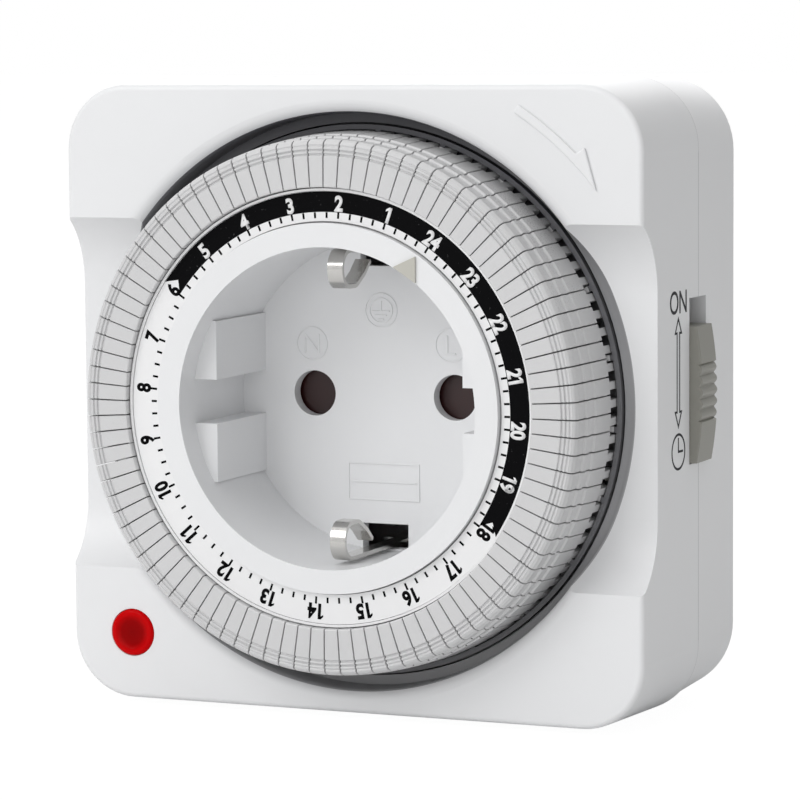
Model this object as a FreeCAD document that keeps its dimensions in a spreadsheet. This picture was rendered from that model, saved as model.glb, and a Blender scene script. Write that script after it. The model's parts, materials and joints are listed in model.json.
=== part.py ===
import FreeCAD, Part
import math
import os
import Sketcher
from FreeCAD import Placement, Rotation, Vector

# Plug-in 24 hour timer switch, in millimetres.
# X runs to the right, Y back towards the wall, Z up.
# The origin is the middle of the plug's end face, on the axis that the plug and the socket share.
# Every sub-part is drawn with the front face of the case at Y = 0 and then moved to that origin.

SIZES = [
    ("face_width", 76.2), ("face_height", 76.8), ("front_depth", 17.9), ("rear_depth", 15.3),
    ("front_draft", 2.4), ("rear_draft", 1.5), ("front_corner", 8.0), ("rear_corner", 9.4),
    ("wall", 2.0), ("face_wall", 2.2), ("rear_wall", 1.6), ("edge_round", 0.7), ("dial_drop", 0.3),
    ("cut_over", 1.0),
    ("band_depth", 4.5), ("band_flat_half", 13.6), ("band_arc", 10.0),
    ("pocket_radius", 35.3), ("pocket_round", 1.6), ("ledge_depth", 4.9),
    ("well_gap", 0.25), ("well_depth", 8.2), ("well_floor", 1.5), ("hub_hole_gap", 0.6),
    ("socket_radius", 19.48), ("socket_depth", 18.05), ("collar_front", 6.82),
    ("collar_radius", 22.38), ("collar_thick", 1.2), ("cup_wall", 1.47), ("cup_floor", 1.8),
    ("rib_front", 4.0), ("rib_inner", 16.3), ("rib_gap_half", 2.72), ("rib_height", 7.2),
    ("pin_spacing", 19.0), ("pin_hole_radius", 2.85),
    ("clip_width", 2.0), ("earth_sheet", 0.5), ("clip_gap_half", 14.4), ("earth_radius", 18.5),
    ("earth_slot_width", 6.2), ("plug_strip_width", 4.6),
    ("plug_radius", 18.4), ("plug_length", 17.0), ("plug_round", 1.0), ("plug_hollow", 13.8),
    ("plug_end_wall", 2.0), ("plug_flat_half", 15.9), ("plug_flat_width", 8.0),
    ("notch_inner", 15.9), ("notch_gap_half", 2.5), ("notch_height", 7.8),
    ("pin_radius", 2.4), ("pin_length", 19.0), ("pin_post", 4.2), ("pin_fit", 0.05), ("pin_shank", 1.9),
    ("neck_radius", 1.4), ("rivet_radius", 1.95), ("rivet_thick", 0.5), ("strip_sheet", 0.6),
    ("dial_run", 0.07), ("hub_wall", 1.0), ("hub_end_gap", 0.32), ("dial_web", 1.2),
    ("scale_thick", 1.0), ("scale_front", 6.02), ("scale_inner", 22.56), ("scale_outer", 26.15),
    ("lip_outer", 26.5), ("lip_height", 0.22), ("drum_wall", 1.1),
    ("flange_radius", 33.85), ("flange_front", 4.4), ("flange_thick", 1.2), ("rim_wall", 0.6),
    ("hour_zero_angle", 55.8), ("tappet_front", 7.07), ("tappet_inner", 26.75),
    ("tappet_shoulder", 32.35), ("tappet_outer", 33.1), ("tappet_skirt", 2.6), ("tappet_plate", 1.2),
    ("tappet_gap", 0.15), ("tappet_travel", 1.4), ("tab_end", 5.9), ("tab_thick", 1.05),
    ("gear_pitch", 0.5), ("dial_teeth", 92), ("pinion_teeth", 12), ("gear_width", 2.6),
    ("gear_front", 10.2), ("gear_backlash", 0.08), ("shaft_radius", 0.9), ("bearing_run", 0.05),
    ("motor_room", 0.6), ("motor_front", 13.4), ("gearbox_depth", 4.4), ("motor_rear_gap", 0.8),
    ("rotor_share", 0.47), ("part_gap", 0.3),
    ("boss_x", 31.9), ("boss_z", 22.0), ("boss_radius", 2.9), ("screw_radius", 1.4),
    ("screw_head", 2.5), ("screw_length", 14.0), ("screw_sink", 6.0),
    ("lamp_x", 29.85), ("lamp_z", 30.1), ("lens_radius", 2.95), ("lens_flange", 3.25),
    ("lens_proud", 0.35), ("neon_radius", 1.9), ("neon_length", 7.0),
    ("slot_half", 3.05), ("slot_bottom", 7.85), ("slot_top", 12.4), ("knob_travel", 3.3),
    ("knob_gap", 0.15), ("knob_proud", 1.5), ("knob_swell", 0.75),
    ("block_half_width", 14.3), ("block_half_height", 10.4), ("block_front", 15.3),
    ("block_rear_gap", 1.3), ("clip_leaf", 0.6), ("clip_front", 16.2), ("clip_rear_gap", 2.0),
    ("clip_slot_half", 2.45), ("cup_screw_z", 8.0),
    ("quarter_angle", 3.75), ("pointer_angle", 57.0), ("finger_radius", 32.5),
    ("lever_x", 24.9), ("lever_depth", 11.6), ("lever_width", 3.6), ("lever_pin_radius", 0.8),
    ("shutter_thick", 1.5), ("shutter_half", 3.2), ("shutter_reach", 13.4), ("pivot_radius", 1.5),
]

doc = FreeCAD.newDocument("plug_in_timer")
sheet = doc.addObject("Spreadsheet::Sheet", "Sizes")
for line, (name, number) in enumerate(SIZES, start=1):
    sheet.set("A%d" % line, name.replace("_", " "))
    sheet.set("B%d" % line, str(number))
    sheet.setAlias("B%d" % line, name)
doc.recompute()


class Size:
    """A length or angle that knows both its number now and its expression on the sheet."""

    def __init__(self, number, words):
        self.number = number
        self.words = words

    def pair(self, other, sign, answer, turned=False):
        words = other.words if isinstance(other, Size) else "(%r)" % float(other)
        first, second = (words, self.words) if turned else (self.words, words)
        return Size(answer, "(%s %s %s)" % (first, sign, second))

    def __add__(self, other):
        return self.pair(other, "+", self.number + float(other))

    def __radd__(self, other):
        return self.pair(other, "+", float(other) + self.number, True)

    def __sub__(self, other):
        return self.pair(other, "-", self.number - float(other))

    def __rsub__(self, other):
        return self.pair(other, "-", float(other) - self.number, True)

    def __mul__(self, other):
        return self.pair(other, "*", self.number * float(other))

    def __rmul__(self, other):
        return self.pair(other, "*", float(other) * self.number, True)

    def __truediv__(self, other):
        return self.pair(other, "/", self.number / float(other))

    def __neg__(self):
        return Size(-self.number, "(-%s)" % self.words)

    def __float__(self):
        return float(self.number)


class Sizes:
    """The sheet's values by name."""

    def __init__(self):
        for name, _ in SIZES:
            setattr(self, name, Size(float(sheet.get(name)), "Sizes." + name))


S = Sizes()


def root(value, power=0.5):
    """A square root of a size, as a size."""
    return Size(math.sqrt(float(value)), "sqrt(%s)" % value.words)


def polar(radius, angle):
    """The across and up distances of a point at a radius and an angle in degrees."""
    across = Size(float(radius) * math.cos(math.radians(float(angle))),
                  "(%s * cos(%s * 1 deg))" % (radius.words, angle.words))
    up = Size(float(radius) * math.sin(math.radians(float(angle))),
              "(%s * sin(%s * 1 deg))" % (radius.words, angle.words))
    return across, up


def tangent(angle):
    """The tangent of an angle in degrees, as a size."""
    return Size(math.tan(math.radians(float(angle))), "tan(%s * 1 deg)" % angle.words)


# Places that several sub-parts share
case_depth = S.front_depth + S.rear_depth
half_width = S.face_width / 2
half_height = S.face_height / 2
split_growth = S.front_depth * tangent(S.front_draft)
split_half_width = half_width + split_growth
split_half_height = half_height + split_growth
cavity_front = S.well_depth + S.well_floor
inner_rear = case_depth - S.rear_wall
well_radius = S.flange_radius + S.well_gap
socket_floor = S.socket_depth - S.collar_front
cup_rear = socket_floor + S.cup_floor
cup_outer = S.socket_radius + S.cup_wall
hub_bore = cup_outer + S.dial_run
hub_outer = hub_bore + S.hub_wall
hub_front = -S.collar_front + S.collar_thick + S.hub_end_gap
web_front = -S.scale_front + S.scale_thick
dial_pitch_radius = S.gear_pitch * S.dial_teeth / 2
pinion_pitch_radius = S.gear_pitch * S.pinion_teeth / 2
gear_rear = S.gear_front + S.gear_width
centre_distance = dial_pitch_radius + pinion_pitch_radius + S.gear_backlash / 2
dial_tip_radius = dial_pitch_radius + S.gear_pitch
hub_hole = dial_tip_radius + S.hub_hole_gap
half_spacing = S.pin_spacing / 2
flange_rear = S.flange_front + S.flange_thick
slot_centre = S.front_depth
inner_side = split_half_width - S.wall
knob_bottom = S.dial_drop - S.slot_bottom + S.knob_gap
knob_top = S.dial_drop + S.slot_top - S.knob_gap - S.knob_travel
strip_front = inner_rear - S.strip_sheet
block_rear = inner_rear - S.block_rear_gap
clip_length = inner_rear - S.clip_rear_gap - S.clip_front
motor_rear = inner_rear - S.motor_rear_gap
motor_radius = inner_side - S.wall / 4 - centre_distance - S.motor_room
rotor_radius = motor_radius * S.rotor_share
plug_end = case_depth + S.plug_length
home = -plug_end

parts = []


def keep(piece, label):
    """Name a finished sub-part and move it to the shared origin."""
    piece.Label = label
    piece.setExpression("Placement.Base.y", home.words)
    parts.append(piece)
    return piece


def body(label):
    return keep(doc.addObject("PartDesign::Body", label), label)


def sketch_on(owner, role, offset=None):
    """A sketch on one of the body's own origin planes, moved along that plane's normal."""
    plane = [p for p in owner.Origin.OriginFeatures if p.Role == role][0]
    sketch = owner.newObject("Sketcher::SketchObject", owner.Name + "_sketch")
    sketch.AttachmentSupport = [(plane, "")]
    sketch.MapMode = "FlatFace"
    if offset is not None:
        sketch.setExpression("AttachmentOffset.Base.z", offset.words)
    return sketch


def front_sketch(owner, depth):
    """A sketch seen from the front, on the plane at a depth behind the face."""
    return sketch_on(owner, "XZ_Plane", -depth)


def number_of(value):
    return float(value)


def hold(sketch, kind, first, first_end, second, second_end, value):
    """One distance between two points, bound to its size."""
    place = sketch.addConstraint(
        Sketcher.Constraint(kind, first, first_end, second, second_end, number_of(value)))
    if isinstance(value, Size):
        sketch.setExpression("Constraints[%d]" % place, value.words)


def hold_radius(sketch, edge, value):
    place = sketch.addConstraint(Sketcher.Constraint("Radius", edge, number_of(value)))
    sketch.setExpression("Constraints[%d]" % place, value.words)


def hold_point(sketch, edge, end, across, up):
    """A point held by its two distances from the sketch's origin."""
    if number_of(across) == 0:
        sketch.addConstraint(Sketcher.Constraint("PointOnObject", edge, end, -2))
    else:
        hold(sketch, "DistanceX", -1, 1, edge, end, across)
    if number_of(up) == 0:
        sketch.addConstraint(Sketcher.Constraint("PointOnObject", edge, end, -1))
    else:
        hold(sketch, "DistanceY", -1, 1, edge, end, up)


def outline(sketch, corners):
    """A closed outline of straight lines through the corners."""
    count = len(corners)
    first = sketch.GeometryCount
    for place, (across, up) in enumerate(corners):
        next_across, next_up = corners[(place + 1) % count]
        sketch.addGeometry(Part.LineSegment(Vector(number_of(across), number_of(up), 0),
                                            Vector(number_of(next_across), number_of(next_up), 0)))
    for place, (across, up) in enumerate(corners):
        following = first + (place + 1) % count
        sketch.addConstraint(Sketcher.Constraint("Coincident", first + place, 2, following, 1))
        hold_point(sketch, first + place, 1, across, up)
    return sketch


def circle(sketch, across, up, radius):
    edge = sketch.addGeometry(Part.Circle(Vector(number_of(across), number_of(up), 0),
                                          Vector(0, 0, 1), number_of(radius)))
    hold_radius(sketch, edge, radius)
    hold_point(sketch, edge, 3, across, up)
    return sketch


def rounded_rectangle(sketch, left, right, bottom, top, radius):
    """Four lines and four tangent corner arcs."""
    x0, x1 = number_of(left), number_of(right)
    z0, z1 = number_of(bottom), number_of(top)
    r = number_of(radius)
    ends = [((x0 + r, z0), (x1 - r, z0)), ((x1, z0 + r), (x1, z1 - r)),
            ((x1 - r, z1), (x0 + r, z1)), ((x0, z1 - r), (x0, z0 + r))]
    centres = [(x1 - r, z0 + r), (x1 - r, z1 - r), (x0 + r, z1 - r), (x0 + r, z0 + r)]
    lines = []
    arcs = []
    for start, end in ends:
        lines.append(sketch.addGeometry(Part.LineSegment(Vector(*start, 0), Vector(*end, 0))))
    for turn, centre in enumerate(centres):
        whole = Part.Circle(Vector(*centre, 0), Vector(0, 0, 1), r)
        begin = math.radians(-90 + 90 * turn)
        arcs.append(sketch.addGeometry(Part.ArcOfCircle(whole, begin, begin + math.pi / 2)))
    for turn in range(4):
        sketch.addConstraint(Sketcher.Constraint("Tangent", lines[turn], 2, arcs[turn], 1))
        sketch.addConstraint(Sketcher.Constraint("Tangent", arcs[turn], 2, lines[(turn + 1) % 4], 1))
        sketch.addConstraint(Sketcher.Constraint("Vertical" if turn % 2 else "Horizontal", lines[turn]))
    for turn in range(1, 4):
        sketch.addConstraint(Sketcher.Constraint("Equal", arcs[0], arcs[turn]))
    hold_radius(sketch, arcs[0], radius)
    hold(sketch, "DistanceY", -1, 1, lines[0], 1, bottom)
    hold(sketch, "DistanceX", -1, 1, lines[1], 1, right)
    hold(sketch, "DistanceY", -1, 1, lines[2], 1, top)
    hold(sketch, "DistanceX", -1, 1, lines[3], 1, left)
    return sketch


def feature(owner, kind, sketch, adds):
    """A sketch based feature, whose effect on the volume is checked once it is set up."""
    made = owner.newObject("PartDesign::" + kind, owner.Name + "_" + kind)
    made.Profile = sketch
    sketch.Visibility = False
    checks.append((owner.Name, made, adds))
    return made


checks = []


def pad(owner, sketch, length, back=True, taper=None):
    """Adds material behind the sketch, or in front of it where back is False."""
    made = feature(owner, "Pad", sketch, True)
    made.setExpression("Length", length.words)
    made.Reversed = back
    if taper is not None:
        made.setExpression("TaperAngle", taper.words)
    doc.recompute()
    return made


def pocket(owner, sketch, depth, forward=False):
    """Cuts behind the sketch, or in front of it where forward is True."""
    made = feature(owner, "Pocket", sketch, False)
    made.setExpression("Length", depth.words)
    made.Reversed = forward
    doc.recompute()
    return made


def turned(owner, corners, cut=False):
    """Revolves an outline of (radius, depth) corners about the body's Y axis."""
    sketch = outline(sketch_on(owner, "XY_Plane"), corners)
    made = feature(owner, "Groove" if cut else "Revolution", sketch, not cut)
    made.ReferenceAxis = (sketch, ["V_Axis"])
    made.Angle = 360
    doc.recompute()
    return made


def rounded(owner, base, size, chosen):
    """Rounds the edges of the last feature that the test picks."""
    names = ["Edge%d" % (place + 1) for place, edge in enumerate(base.Shape.Edges) if chosen(edge)]
    made = owner.newObject("PartDesign::Fillet", owner.Name + "_Fillet")
    made.Base = (base, names)
    made.setExpression("Radius", size.words)
    doc.recompute()
    return made


def at_depth(depth):
    """A test for edges that lie wholly at one depth."""
    return lambda edge: all(abs(v.Y - number_of(depth)) < 1e-4 for v in edge.Vertexes)


def shaped(label, shape):
    """A sub-part whose shape is worked out below from the sheet's sizes."""
    piece = doc.addObject("Part::Feature", label)
    piece.Shape = shape
    return keep(piece, label)


def box(x0, x1, y0, y1, z0, z1):
    low = [number_of(value) for value in (x0, y0, z0)]
    high = [number_of(value) for value in (x1, y1, z1)]
    return Part.makeBox(high[0] - low[0], high[1] - low[1], high[2] - low[2], Vector(*low))


def rod(radius, x, z, start, end):
    """A round bar along Y."""
    start, end = number_of(start), number_of(end)
    return Part.makeCylinder(number_of(radius), end - start,
                             Vector(number_of(x), start, number_of(z)), Vector(0, 1, 0))


def strip(points, thick, width, along, start, turn=0.0):
    """Sheet metal bent through the points, drawn in one plane and given its width along the third axis."""
    if along == "x":
        spots = [Vector(number_of(start), number_of(a), number_of(b)) for a, b in points]
        way = Vector(number_of(width), 0, 0)
    elif along == "y":
        spots = [Vector(number_of(a), number_of(start), number_of(b)) for a, b in points]
        way = Vector(0, number_of(width), 0)
    else:
        spots = [Vector(number_of(a), number_of(b), number_of(start)) for a, b in points]
        way = Vector(0, 0, number_of(width))
    path = Part.makePolygon(spots)
    if turn:
        path = soft_bends(spots, turn)
    face = path.makeOffset2D(number_of(thick), 0, True, True)
    return face.extrude(way)


def soft_bends(spots, radius):
    """The same run of points with an arc of one radius at each bend."""
    edges = []
    last = spots[0]
    for place in range(1, len(spots) - 1):
        corner = spots[place]
        before = (spots[place - 1] - corner).normalize()
        after = (spots[place + 1] - corner).normalize()
        half = before.getAngle(after) / 2
        reach = radius / math.tan(half)
        enter = corner + before * reach
        leave = corner + after * reach
        middle_way = (before + after).normalize()
        middle = corner + middle_way * (radius / math.sin(half) - radius)
        if (enter - last).Length > 1e-6:
            edges.append(Part.LineSegment(last, enter).toShape())
        edges.append(Part.Arc(enter, middle, leave).toShape())
        last = leave
    edges.append(Part.LineSegment(last, spots[-1]).toShape())
    return Part.Wire(edges)


# Front housing: drafted shell with a scooped band, the dial's round pocket and its well
front = body("front_housing")
face = rounded_rectangle(front_sketch(front, S.edge_round * 0), -half_width, half_width,
                         S.dial_drop - half_height, S.dial_drop + half_height, S.front_corner)
shell = pad(front, face, S.front_depth, True, S.front_draft)
rounded(front, shell, S.edge_round, at_depth(0))

arc_depth = S.band_depth - S.band_arc
mouth_rise = root(S.band_arc * S.band_arc - (arc_depth + S.cut_over) * (arc_depth + S.cut_over))
band = sketch_on(front, "YZ_Plane", half_width + 5 * S.cut_over)
upper = S.dial_drop + S.band_flat_half
lower = S.dial_drop - S.band_flat_half
band_open = -S.cut_over
left_line = band.addGeometry(Part.LineSegment(
    Vector(float(band_open), float(lower - mouth_rise), 0),
    Vector(float(band_open), float(upper + mouth_rise), 0)))
start_angle = math.atan2(float(mouth_rise), float(band_open - arc_depth))
top_arc = band.addGeometry(Part.ArcOfCircle(
    Part.Circle(Vector(float(arc_depth), float(upper), 0), Vector(0, 0, 1), float(S.band_arc)),
    0, start_angle))
flat_line = band.addGeometry(Part.LineSegment(
    Vector(float(S.band_depth), float(upper), 0), Vector(float(S.band_depth), float(lower), 0)))
low_arc = band.addGeometry(Part.ArcOfCircle(
    Part.Circle(Vector(float(arc_depth), float(lower), 0), Vector(0, 0, 1), float(S.band_arc)),
    -start_angle, 0))
band.addConstraint(Sketcher.Constraint("Coincident", left_line, 2, top_arc, 2))
band.addConstraint(Sketcher.Constraint("Coincident", top_arc, 1, flat_line, 1))
band.addConstraint(Sketcher.Constraint("Coincident", flat_line, 2, low_arc, 2))
band.addConstraint(Sketcher.Constraint("Coincident", low_arc, 1, left_line, 1))
hold(band, "DistanceX", -1, 1, left_line, 1, band_open)
hold(band, "DistanceX", -1, 1, left_line, 2, band_open)
hold_radius(band, top_arc, S.band_arc)
hold_radius(band, low_arc, S.band_arc)
hold_point(band, top_arc, 3, arc_depth, upper)
hold_point(band, low_arc, 3, arc_depth, lower)
hold(band, "DistanceY", -1, 1, flat_line, 1, upper)
hold(band, "DistanceY", -1, 1, flat_line, 2, lower)
pocket(front, band, S.face_width + 10 * S.cut_over)

# The pocket's mouth flares into the face with a quarter round
mouth = sketch_on(front, "XY_Plane")
flare_radius = S.pocket_radius + S.pocket_round
corners = [(0.0, -S.cut_over), (flare_radius, -S.cut_over), (flare_radius, 0.0)]
path = [(S.pocket_radius, S.pocket_round), (S.pocket_radius, S.ledge_depth),
        (well_radius, S.ledge_depth), (well_radius, S.well_depth), (hub_hole, S.well_depth),
        (hub_hole, cavity_front + S.cut_over), (0.0, cavity_front + S.cut_over)]
lines = []
spots = corners + path
for place in range(len(spots)):
    if place == 2:
        lines.append(mouth.addGeometry(Part.ArcOfCircle(
            Part.Circle(Vector(float(flare_radius), float(S.pocket_round), 0), Vector(0, 0, 1),
                        float(S.pocket_round)), math.pi, 1.5 * math.pi)))
        continue
    a, b = spots[place], spots[(place + 1) % len(spots)]
    lines.append(mouth.addGeometry(Part.LineSegment(Vector(float(a[0]), float(a[1]), 0),
                                                    Vector(float(b[0]), float(b[1]), 0))))
for place in range(len(spots)):
    following = (place + 1) % len(spots)
    end = 1 if place == 2 else 2
    begin = 2 if following == 2 else 1
    mouth.addConstraint(Sketcher.Constraint("Coincident", lines[place], end, lines[following], begin))
    if place not in (2, 3):
        hold_point(mouth, lines[place], 1, *spots[place])
hold_radius(mouth, lines[2], S.pocket_round)
hold_point(mouth, lines[2], 3, flare_radius, S.pocket_round)
hold(mouth, "DistanceY", -1, 1, lines[3], 1, S.pocket_round)
hold(mouth, "DistanceX", -1, 1, lines[2], 2, flare_radius)
dial_pocket = feature(front, "Groove", mouth, False)
dial_pocket.ReferenceAxis = (mouth, ["V_Axis"])
dial_pocket.Angle = 360
doc.recompute()

# Hollow behind the face, one large room and four corner rooms, then screw posts
room = rounded_rectangle(front_sketch(front, S.front_depth),
                         -inner_side + S.wall / 4, inner_side - S.wall / 4,
                         S.dial_drop - split_half_height + S.wall * 1.25,
                         S.dial_drop + split_half_height - S.wall * 1.25,
                         S.front_corner - S.wall)
pocket(front, room, S.front_depth - cavity_front, True)
corner_inner = (S.pocket_radius + S.wall) / math.sqrt(2)
corner_x = half_width - S.wall
corner_z = half_height - S.wall
for side, rise in ((-1, -1), (1, -1), (1, 1), (-1, 1)):
    across = sorted([side * corner_inner, side * corner_x], key=float)
    upward = sorted([S.dial_drop + rise * corner_inner, S.dial_drop + rise * corner_z], key=float)
    nook = rounded_rectangle(front_sketch(front, cavity_front + S.cut_over / 2), across[0], across[1],
                             upward[0], upward[1], S.wall * 2)
    pocket(front, nook, cavity_front + S.cut_over / 2 - S.face_wall, True)
posts = front_sketch(front, S.front_depth)
for side, rise in ((-1, -1), (1, -1), (1, 1), (-1, 1)):
    circle(posts, side * S.boss_x, S.dial_drop + rise * S.boss_z, S.boss_radius)
pad(front, posts, S.front_depth - cavity_front + S.cut_over, False)
holes = front_sketch(front, S.front_depth)
for side, rise in ((-1, -1), (1, -1), (1, 1), (-1, 1)):
    circle(holes, side * S.boss_x, S.dial_drop + rise * S.boss_z, S.screw_radius + S.pin_fit)
pocket(front, holes, S.screw_length / 2, True)
lamp_hole = circle(front_sketch(front, -S.cut_over), -S.lamp_x, S.dial_drop - S.lamp_z,
                   S.lens_radius + S.pin_fit)
pocket(front, lamp_hole, S.face_wall + 2 * S.cut_over)
bearing_hole = circle(front_sketch(front, cavity_front), -centre_distance, 0.0,
                      S.shaft_radius + S.bearing_run)
pocket(front, bearing_hole, S.well_floor - S.part_gap, True)

# Window in the well's floor for the trip lever's finger
finger_turn = S.hour_zero_angle - 19 * S.quarter_angle
finger_x, finger_z = polar(S.finger_radius, finger_turn)
window = outline(front_sketch(front, S.well_depth - S.cut_over), [
    (finger_x - 1.6, finger_z - 1.4), (finger_x + 2.1, finger_z - 1.4),
    (finger_x + 2.1, finger_z + 1.4), (finger_x - 1.6, finger_z + 1.4)])
pocket(front, window, S.well_floor + 2 * S.cut_over)

# Two ears hold the trip lever's pin
lever_half = S.lever_width / 2
for rise in (-1, 1):
    span = sorted([finger_z + rise * (lever_half + S.part_gap),
                   finger_z + rise * (lever_half + 1.3)], key=float)
    ear = outline(front_sketch(front, cavity_front - S.cut_over / 2), [
        (S.lever_x - 1.6, span[0]), (S.lever_x + 1.6, span[0]),
        (S.lever_x + 1.6, span[1]), (S.lever_x - 1.6, span[1])])
    pad(front, ear, S.lever_depth + 1.6 - cavity_front + S.cut_over / 2)
pin_bore = circle(sketch_on(front, "XY_Plane", finger_z + lever_half + 1.6), S.lever_x, S.lever_depth,
                  S.lever_pin_radius)
pocket(front, pin_bore, S.lever_width + 3.2)


def cut_switch_slot(owner, begin, end):
    slot = outline(sketch_on(owner, "YZ_Plane", split_half_width + 5 * S.cut_over), [
        (begin, S.dial_drop - S.slot_bottom), (end, S.dial_drop - S.slot_bottom),
        (end, S.dial_drop + S.slot_top), (begin, S.dial_drop + S.slot_top)])
    pocket(owner, slot, S.wall * 2 + 6 * S.cut_over)


cut_switch_slot(front, slot_centre - S.slot_half, slot_centre + S.cut_over)

# Rear housing: drafted shell with the plug body, hollow behind the pins
rear = body("rear_housing")
base = rounded_rectangle(front_sketch(rear, S.front_depth), -split_half_width, split_half_width,
                         S.dial_drop - split_half_height, S.dial_drop + split_half_height, S.rear_corner)
shell = pad(rear, base, S.rear_depth, True, -S.rear_draft)
rounded(rear, shell, S.edge_round, at_depth(case_depth))
plug = circle(front_sketch(rear, case_depth - S.cut_over), 0.0, 0.0, S.plug_radius)
plug_pad = pad(rear, plug, S.plug_length + S.cut_over)
rounded(rear, plug_pad, S.plug_round, at_depth(plug_end))
for rise in (-1, 1):
    flat = sorted([rise * S.plug_flat_half, rise * (S.plug_radius + S.cut_over)], key=float)
    groove = outline(front_sketch(rear, case_depth), [
        (-S.plug_flat_width / 2, flat[0]), (S.plug_flat_width / 2, flat[0]),
        (S.plug_flat_width / 2, flat[1]), (-S.plug_flat_width / 2, flat[1])])
    pocket(rear, groove, S.plug_length + S.cut_over)
    for side in (-1, 1):
        across = sorted([side * S.notch_inner, side * (S.plug_radius + S.cut_over)], key=float)
        upward = sorted([rise * S.notch_gap_half, rise * (S.notch_gap_half + S.notch_height)], key=float)
        notch = outline(front_sketch(rear, case_depth), [
            (across[0], upward[0]), (across[1], upward[0]),
            (across[1], upward[1]), (across[0], upward[1])])
        pocket(rear, notch, S.plug_length + S.cut_over)
room = rounded_rectangle(front_sketch(rear, S.front_depth), -inner_side + S.wall / 4, inner_side - S.wall / 4,
                         S.dial_drop - split_half_height + S.wall * 1.25,
                         S.dial_drop + split_half_height - S.wall * 1.25,
                         S.rear_corner - S.wall)
pocket(rear, room, S.rear_depth - S.rear_wall)
hollow = circle(front_sketch(rear, inner_rear), 0.0, 0.0, S.plug_hollow)
for side in (-1, 1):
    circle(hollow, side * half_spacing, 0.0, S.pin_post)
pocket(rear, hollow, S.rear_wall + S.plug_length - S.plug_end_wall)
pin_holes = front_sketch(rear, inner_rear)
for side in (-1, 1):
    circle(pin_holes, side * half_spacing, 0.0, S.pin_shank + S.pin_fit)
pocket(rear, pin_holes, S.rear_wall + S.plug_length + S.cut_over)
for rise in (-1, 1):
    low = rise * (S.plug_flat_half + S.earth_sheet / 2) - S.earth_sheet
    high = rise * (S.plug_flat_half + S.earth_sheet / 2) + S.earth_sheet
    gate = outline(front_sketch(rear, inner_rear), [
        (-S.plug_strip_width / 2 - S.part_gap, low), (S.plug_strip_width / 2 + S.part_gap, low),
        (S.plug_strip_width / 2 + S.part_gap, high), (-S.plug_strip_width / 2 - S.part_gap, high)])
    pocket(rear, gate, S.rear_wall + S.cut_over)
posts = front_sketch(rear, S.front_depth)
holes = front_sketch(rear, S.front_depth)
sinks = front_sketch(rear, case_depth)
for side, rise in ((-1, -1), (1, -1), (1, 1), (-1, 1)):
    circle(posts, side * S.boss_x, S.dial_drop + rise * S.boss_z, S.boss_radius + S.part_gap)
    circle(holes, side * S.boss_x, S.dial_drop + rise * S.boss_z, S.screw_radius + S.part_gap)
    circle(sinks, side * S.boss_x, S.dial_drop + rise * S.boss_z, S.screw_head + S.part_gap / 2)
pad(rear, posts, S.rear_depth - S.rear_wall + S.cut_over / 2)
pocket(rear, holes, S.rear_depth + S.cut_over)
pocket(rear, sinks, S.screw_sink, True)
cradle = front_sketch(rear, motor_rear - S.gearbox_depth)
circle(cradle, -centre_distance, 0.0, motor_radius + 0.1)
circle(cradle, -centre_distance, 0.0, motor_radius + 0.9)
cradle_pad = pad(rear, cradle, inner_rear - motor_rear + S.gearbox_depth + S.cut_over / 2)
cut_switch_slot(rear, slot_centre - S.cut_over, slot_centre + S.slot_half)

# Socket cup: collar, straight wall, floor with pin holes and earth openings, guide ribs
cup = body("socket_cup")
turned(cup, [
    (S.socket_radius, -S.collar_front), (S.collar_radius, -S.collar_front),
    (S.collar_radius, -S.collar_front + S.collar_thick), (cup_outer, -S.collar_front + S.collar_thick),
    (cup_outer, cup_rear), (0.0, cup_rear), (0.0, socket_floor), (S.socket_radius, socket_floor)])
rib_start = S.rib_front - S.collar_front
rib_deep = S.socket_depth - S.rib_front + S.cup_floor / 2
rib_root = S.socket_radius + S.cup_wall / 2
for side in (-1, 1):
    for rise in (-1, 1):
        near = rise * S.rib_gap_half
        far = rise * (S.rib_gap_half + S.rib_height)
        low_reach = side * root(rib_root * rib_root - S.rib_gap_half * S.rib_gap_half)
        far_height = S.rib_gap_half + S.rib_height
        far_reach = side * root(rib_root * rib_root - far_height * far_height)
        rib = outline(front_sketch(cup, rib_start), [
            (side * S.rib_inner, near), (low_reach, near), (far_reach, far), (side * S.rib_inner, far)])
        pad(cup, rib, rib_deep)
holes = front_sketch(cup, socket_floor)
for side in (-1, 1):
    circle(holes, side * half_spacing, 0.0, S.pin_hole_radius)
pocket(cup, holes, S.cup_floor + S.cut_over)
for rise in (-1, 1):
    reach = sorted([rise * (S.clip_gap_half + 1.7), rise * (S.socket_radius - 0.2)], key=float)
    opening = outline(front_sketch(cup, socket_floor), [
        (-S.earth_slot_width / 2, reach[0]), (S.earth_slot_width / 2, reach[0]),
        (S.earth_slot_width / 2, reach[1]), (-S.earth_slot_width / 2, reach[1])])
    pocket(cup, opening, S.cup_floor + S.cut_over)
bosses = front_sketch(cup, cup_rear)
for rise in (-1, 1):
    circle(bosses, 0.0, rise * S.cup_screw_z, S.boss_radius - S.wall / 4)
pad(cup, bosses, S.block_front - cup_rear)
holes = front_sketch(cup, S.block_front)
for rise in (-1, 1):
    circle(holes, 0.0, rise * S.cup_screw_z, S.screw_radius * 0.75 + S.pin_fit)
pocket(cup, holes, S.block_front - cup_rear + S.cup_floor / 3, True)

# Time pointer: a small raised wedge on the collar's top, its tip towards the scale
pointer_proud = S.lip_height + S.part_gap / 3
pointer_base = S.socket_radius + 0.1
pointer = body("time_pointer")
wedge = outline(front_sketch(pointer, -S.collar_front - pointer_proud), [
    polar(pointer_base, S.pointer_angle + 5.0),
    polar(pointer_base, S.pointer_angle - 5.0),
    polar(S.collar_radius - 0.25, S.pointer_angle)])
pad(pointer, wedge, pointer_proud)

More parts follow.
